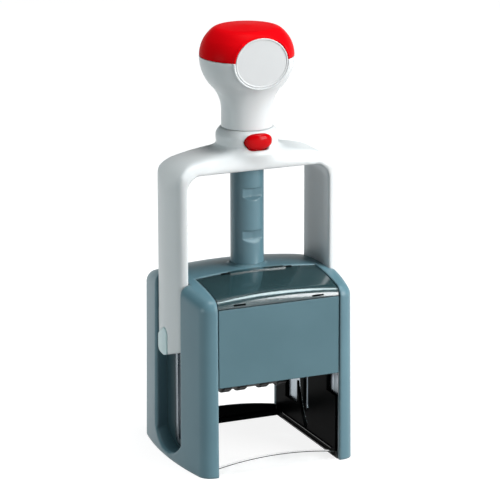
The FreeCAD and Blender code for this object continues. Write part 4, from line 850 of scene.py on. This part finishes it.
@dataclass
class Handle:
    """The white yoke, its clips and the knob on top."""

    skin: float = 0.0005
    rounds: int = 20
    kept_faces: float = 0.5
    chin_low: float = 0.1315
    chin_half_width: float = 0.024
    chin_fade: float = 0.004
    chin_from: float = 0.006
    chin_top_share: float = 0.4
    chin_front_fade: float = 0.002
    chin_rounds: int = 70
    collar_low: float = 0.1412
    collar_high: float = 0.1486
    collar_reach: float = 1.1
    collar_bore: float = 0.0108
    collar_wall: float = 0.0125
    collar_swell: float = 0.00045
    collar_draw: float = 0.0002
    roll_width: float = 0.003
    roll_from: float = 0.45
    roll_span: float = 0.4
    roll_drop: float = 0.0013
    soft_from: float = 0.066
    soft_to: float = 0.1415
    label_half_width: float = 0.01235
    label_half_height: float = 0.01095
    label_back: float = 0.01592
    label_front: float = 0.01677
    label_z: float = 0.17985
    label_points: int = 128
    # How far in and how far forward each ring of the label lies, from the rim to the middle.
    label_rings: tuple[tuple[float, float], ...] = (
        (0.00012, 0.00008), (0.00045, 0.0), (0.00018, -0.00022), (0.0045, 0.00006), (0.0040, 0.00003))
    seam_z: float = 0.1802
    seam_near: float = 0.00002
    seam_gap: float = 0.00026
    clip_skin: float = 0.0002
    clip_rounds: int = 14
    cap_skin: float = 0.0004
    cap_rounds: int = 40
    crown_from: float = 0.1885
    travel: float = 0.039

    def build(self) -> None:
        """Makes the yoke and the label, and dresses the rest."""
        self.yoke()
        self.knob()
        self.label()
        for side in ("right", "left"):
            clip = softened(f"{side}_leg_clip", self.clip_skin, self.clip_rounds, lambda place: True)
            put(clip, f"{side}_clip_moulding", Body.HANDLE, MINT, smooth=50.0, replaces=(f"{side}_leg_clip",))
        dress(HANDLE_FINISHES)
        self.spring()

    def yoke(self) -> None:
        """The yoke with its melted edges and blended collar."""
        mesh = softened("yoke", self.skin, self.rounds, lambda place: self.soft_from < place.z < self.soft_to)
        chin = [(vert, self.chin_depth(vert.co)) for vert in mesh.verts if self.chin_depth(vert.co) > 0.0]
        for turn in range(self.chin_rounds):
            inner = [vert for vert, depth in chin if depth * self.chin_rounds > turn]
            melt(mesh, inner)
        for vert in mesh.verts:
            self.bulge(vert)
        mesh = modified(mesh, "DECIMATE", decimate_type="COLLAPSE", ratio=self.kept_faces)
        put(mesh, "yoke_moulding", Body.HANDLE, WHITE, smooth=50.0, replaces=("yoke",))

    def spring(self) -> None:
        """The main spring's coil, riding on the handle."""
        coil = put(read_node("main_spring"), "main_spring_coil", Body.HANDLE, SPRING_STEEL,
                   replaces=("main_spring",))
        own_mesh(coil)

    def chin_depth(self, place: Vector) -> float:
        """How far a place lies inside the zone under the button that is melted most.

        Args:
            place: A place on the yoke.

        Returns:
            0 or less outside the zone, 1 well inside it.
        """
        return min((self.chin_half_width - abs(place.x)) / self.chin_fade,
                   (place.z - self.chin_low) / self.chin_fade,
                   (self.collar_low - place.z) / (self.chin_fade * self.chin_top_share),
                   (-self.chin_from - place.y) / self.chin_front_fade, 1.0)

    def bulge(self, vert: bmesh.types.BMVert) -> None:
        """Swells the collar's wall a little and rolls its top edge over.

        Args:
            vert: A point of the yoke, moved if it is on the collar's outside.
        """
        out = math.hypot(vert.co.x, vert.co.y)
        up = (vert.co.z - self.collar_low) / (self.collar_high - self.collar_low)
        if not 0.0 < up < self.collar_reach or out < self.collar_bore:
            return
        if out > self.collar_wall:
            belly = self.collar_swell * math.sin(math.pi * min(up, 1.0)) - self.collar_draw
            swell = 1.0 + belly / out
            vert.co.x, vert.co.y = vert.co.x * swell, vert.co.y * swell
        across = min(max((out - self.collar_bore) / self.roll_width, 0.0), 1.0)
        roll = across ** 2 * min(max((up - self.roll_from) / self.roll_span, 0.0), 1.0)
        vert.co.z -= self.roll_drop * roll

    def knob(self) -> None:
        """The shell raised to meet the cap at the seam, and the cap with its crown's edge melted."""
        shell = read_node("knob_shell")
        for vert in shell.verts:
            if abs(vert.co.z - self.seam_z) < self.seam_near:
                vert.co.z += self.seam_gap
        put(shell, "knob_shell_moulding", Body.HANDLE, WHITE, replaces=("knob_shell",))
        cap = softened("knob_cap", self.cap_skin, self.cap_rounds, lambda place: place.z > self.crown_from)
        put(cap, "knob_cap_moulding", Body.HANDLE, KNOB_RED, replaces=("knob_cap",))

    def label(self) -> None:
        """The bare label disc with its raised rim."""
        mesh = bmesh.new()
        face = oval_face(mesh, self.label_half_width, self.label_half_height,
                         (0.0, -self.label_back, self.label_z), self.label_points)
        body = bmesh.ops.extrude_face_region(mesh, geom=[face])
        front = next(item for item in body["geom"] if isinstance(item, bmesh.types.BMFace))
        bmesh.ops.translate(mesh, verts=front.verts, vec=(0.0, self.label_back - self.label_front, 0.0))
        for inset, rise in self.label_rings:
            raise_face(mesh, front, inset, rise)
        bmesh.ops.recalc_face_normals(mesh, faces=mesh.faces)
        put(mesh, "label_plate", Body.HANDLE, LABEL, smooth=30.0, replaces=("label_disc",))


@dataclass
class LatchButton:
    """The glossy red button in the collar."""

    half_width: float = 0.0063
    half_height: float = 0.00342
    z: float = 0.1444
    back: float = 0.0118
    rim: float = 0.0139
    dome: float = 0.0014
    fullness: float = 0.7
    squareness: float = 2.5
    wrap: float = 24.0
    stem_front: float = 0.0112
    outline_points: int = 96
    ring_inset: float = 1e-6
    ring_degrees: tuple[int, ...] = (0, 9, 19, 29, 39, 49, 58, 66, 73, 79, 84, 88)

    def build(self) -> None:
        """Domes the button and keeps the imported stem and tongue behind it."""
        mesh = bmesh.new()
        face = oval_face(mesh, self.half_width, self.half_height, (0.0, -self.back, self.z),
                         self.outline_points, self.squareness)
        body = bmesh.ops.extrude_face_region(mesh, geom=[face])
        front = next(item for item in body["geom"] if isinstance(item, bmesh.types.BMFace))
        bmesh.ops.translate(mesh, verts=front.verts, vec=(0.0, self.back - self.rim, 0.0))
        turns = [math.radians(step) for step in self.ring_degrees]
        for low, high in zip(turns, turns[1:]):
            shrink = (math.cos(high) / math.cos(low)) ** self.fullness
            raise_face(mesh, front, self.ring_inset, self.dome * (math.sin(high) - math.sin(low)))
            bmesh.ops.scale(mesh, verts=front.verts, vec=(shrink, 1.0, shrink),
                            space=Matrix.Translation((0.0, 0.0, -self.z)))
        for vert in mesh.verts:
            vert.co.y += self.wrap * vert.co.x ** 2
        bmesh.ops.recalc_face_normals(mesh, faces=mesh.faces)
        stem = read_node("lock_button")
        geometry = list(stem.verts) + list(stem.edges) + list(stem.faces)
        cut = bmesh.ops.bisect_plane(stem, geom=geometry, plane_co=(0, -self.stem_front, 0),
                                     plane_no=(0, -1, 0), clear_outer=True)
        rim = [item for item in cut["geom_cut"] if isinstance(item, bmesh.types.BMEdge)]
        bmesh.ops.contextual_create(stem, geom=rim)
        held = bpy.data.meshes.new("lock_button_stem")
        stem.to_mesh(held)
        stem.free()
        mesh.from_mesh(held)
        bpy.data.meshes.remove(held)
        put(mesh, "lock_button_cap", Body.BUTTON, BUTTON_RED, smooth=40.0, replaces=("lock_button",))


@dataclass
class Works:
    """The die carrier with its date wheels and bands, and the ink cartridge."""

    pad_crown: float = 0.0004
    pad_crown_share: float = 0.95
    pad_share: float = 0.985
    pad_cells: tuple[int, int] = (40, 26)
    pad_fill: float = 0.9

    def build(self) -> None:
        """Dresses the carrier, the wheels and the cartridge, and pads the ink felt."""
        dress(WORKS_FINISHES)
        self.ink_pad()

    def ink_pad(self) -> None:
        """The crowned felt pad in the cartridge."""
        low, high = (Vector(corner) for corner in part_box("ink_pad"))
        mesh = bmesh.new()
        bmesh.ops.create_grid(mesh, x_segments=self.pad_cells[0], y_segments=self.pad_cells[1], size=0.5)
        size = high - low
        wide, deep = size.x * self.pad_share, size.y * self.pad_share
        bmesh.ops.scale(mesh, verts=mesh.verts, vec=(wide, deep, 1.0))
        walls = bmesh.ops.extrude_face_region(mesh, geom=list(mesh.faces))
        moved = [item for item in walls["geom"] if isinstance(item, bmesh.types.BMVert)]
        bmesh.ops.translate(mesh, verts=moved, vec=(0.0, 0.0, -(size.z - self.pad_crown)))
        for vert in moved:
            across, along = 2 * abs(vert.co.x) / wide, 2 * abs(vert.co.y) / deep
            crown = (1.0 - across ** 4) * (1.0 - along ** 4)
            vert.co.z -= self.pad_crown * crown * self.pad_crown_share
        bmesh.ops.translate(mesh, verts=mesh.verts, vec=((low.x + high.x) / 2, (low.y + high.y) / 2, high.z))
        bmesh.ops.recalc_face_normals(mesh, faces=mesh.faces)
        pad = put(mesh, "felt_pad", Body.CARTRIDGE, INK_FELT, replaces=("ink_pad",))


@dataclass(frozen=True)
class Lamp:
    """A square soft lamp: its name, place, side in metres, power in watts and light."""

    name: str
    place: Point
    size: float
    power: float
    colour: Colour = (1.0, 1.0, 1.0)


LAMPS = (
    Lamp("key_softbox", (0.92, -1.16, 0.5), 0.8, 23.0),
    Lamp("side_softbox", (-1.25, 0.0, 0.17), 0.3, 4.1, (0.84, 0.98, 1.0)),
    Lamp("bend_softbox", (0.52, -0.36, 1.25), 0.5, 8.5, (0.86, 0.98, 1.0)),
    Lamp("top_softbox", (-0.03, -0.05, 1.55), 0.35, 7.5),
)


@dataclass
class Studio:
    """Floor, world, lamps and the camera at the photograph's angle."""

    azimuth: float = 23.429
    elevation: float = 15.556
    roll: float = -0.104
    distance: float = 1.28268
    lens: float = 206.755
    look_at: Point = (0.001402, 0.0, 0.091522)
    ambient: float = 0.1
    floor_lift: float = 0.88
    # The world's strength above the horizon's band, and the band's lower and upper height.
    overhead: float = 0.04
    horizon: tuple[float, float] = (0.04, 0.2)
    sky: Colour = (0.93, 0.99, 1.0)
    white: Colour = (1.0, 1.0, 1.0)
    floor_reach: float = 4.0
    floor_colour: Colour = (0.3, 0.3, 0.3)
    floor_rough: float = 0.9
    lamps_look_at: Point = (0.0, 0.0, 0.09)
    sensor: float = 36.0
    clip: tuple[float, float] = (0.05, 20.0)

    def build(self) -> None:
        """Sets the stage."""
        self.floor()
        self.world()
        for lamp in LAMPS:
            self.hang(lamp)
        self.camera()
        bpy.context.scene.view_settings.view_transform = "Standard"

    def floor(self) -> None:
        """The plain white floor."""
        mesh = bmesh.new()
        bmesh.ops.create_grid(mesh, x_segments=2, y_segments=2, size=self.floor_reach)
        data = bpy.data.meshes.new("studio_floor")
        mesh.to_mesh(data)
        mesh.free()
        wiring = Wiring("studio floor")
        wiring.set(Base_Color=(*self.floor_colour, 1.0), Roughness=self.floor_rough, Specular_IOR_Level=0.0,
                   Emission_Color=(*self.white, 1.0))
        seen = self.seen(wiring.tree)
        wiring.drive(Emission_Strength=wiring.sums("MULTIPLY", seen, self.floor_lift))
        data.materials.append(wiring.material)
        floor = bpy.data.objects.new("studio_floor", data)
        bpy.context.scene.collection.objects.link(floor)

    def world(self) -> None:
        """A plain world that lights softly and shows white behind the object."""
        world = bpy.data.worlds.new("studio")
        world.use_nodes = True
        nodes, links = world.node_tree.nodes, world.node_tree.links
        back = nodes["Background"]
        tint = nodes.new("ShaderNodeMix")
        tint.data_type = "RGBA"
        tint.inputs[MIX_FIRST].default_value = (*self.sky, 1.0)
        tint.inputs[MIX_SECOND].default_value = (*self.white, 1.0)
        links.new(nodes.new("ShaderNodeLightPath").outputs["Is Camera Ray"], tint.inputs["Factor"])
        links.new(tint.outputs[MIX_RESULT], back.inputs["Color"])
        split = nodes.new("ShaderNodeSeparateXYZ")
        links.new(nodes.new("ShaderNodeTexCoord").outputs["Generated"], split.inputs["Vector"])
        height = nodes.new("ShaderNodeMapRange")
        for key, number in zip(("From Min", "From Max", "To Max"), (*self.horizon, self.overhead)):
            height.inputs[key].default_value = number
        height.inputs["To Min"].default_value = 1.0
        links.new(split.outputs["Z"], height.inputs["Value"])
        strength = nodes.new("ShaderNodeMapRange")
        strength.inputs["To Min"].default_value = self.ambient
        links.new(height.outputs["Result"], strength.inputs["To Max"])
        links.new(self.seen(world.node_tree), strength.inputs["Value"])
        links.new(strength.outputs["Result"], back.inputs["Strength"])
        bpy.context.scene.world = world

    @staticmethod
    def seen(tree: bpy.types.NodeTree) -> bpy.types.NodeSocket:
        """Tells whether a ray shows the background: seen directly, mirrored or through something clear.

        Args:
            tree: The node tree to wire it in.

        Returns:
            1 for such a ray and 0 for any other.
        """
        path = tree.nodes.new("ShaderNodeLightPath")
        shown = path.outputs["Is Camera Ray"]
        for ray in ("Is Glossy Ray", "Is Transmission Ray"):
            either = tree.nodes.new("ShaderNodeMath")
            either.operation = "MAXIMUM"
            tree.links.new(shown, either.inputs[0])
            tree.links.new(path.outputs[ray], either.inputs[1])
            shown = either.outputs["Value"]
        return shown

    def hang(self, lamp: Lamp) -> None:
        """Hangs a lamp turned to the object.

        Args:
            lamp: The lamp.
        """
        light = bpy.data.lights.new(lamp.name, "AREA")
        light.color, light.size, light.energy = lamp.colour, lamp.size, lamp.power
        hung = bpy.data.objects.new(lamp.name, light)
        hung.location = lamp.place
        aim = Vector(self.lamps_look_at) - Vector(lamp.place)
        hung.rotation_euler = aim.to_track_quat("-Z", "Y").to_euler()
        bpy.context.scene.collection.objects.link(hung)

    def camera(self) -> None:
        """The camera where the photographer stood."""
        turn, tilt, roll = (math.radians(angle) for angle in (self.azimuth, self.elevation, self.roll))
        back = Vector((-math.sin(turn) * math.cos(tilt), -math.cos(turn) * math.cos(tilt), math.sin(tilt)))
        right = Vector((math.cos(turn), -math.sin(turn), 0.0))
        up = back.cross(right)
        side = right * math.cos(roll) + up * math.sin(roll)
        head = up * math.cos(roll) - right * math.sin(roll)
        data = bpy.data.cameras.new("photographer")
        data.sensor_width, data.lens = self.sensor, self.lens
        data.clip_start, data.clip_end = self.clip
        camera = bpy.data.objects.new("photographer", data)
        place = Vector(self.look_at) + back * self.distance
        camera.matrix_world = Matrix.Translation(place) @ Matrix((side, head, back)).transposed().to_4x4()
        bpy.context.scene.collection.objects.link(camera)
        bpy.context.scene.camera = camera


def main() -> None:
    """Builds the looks in order."""
    logging.basicConfig(level=logging.INFO, format="%(message)s")
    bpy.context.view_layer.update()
    Studio().build()
    for assembly in (Housing(), Handle(), LatchButton(), Works()):
        assembly.build()


if __name__ == "__main__":
    main()
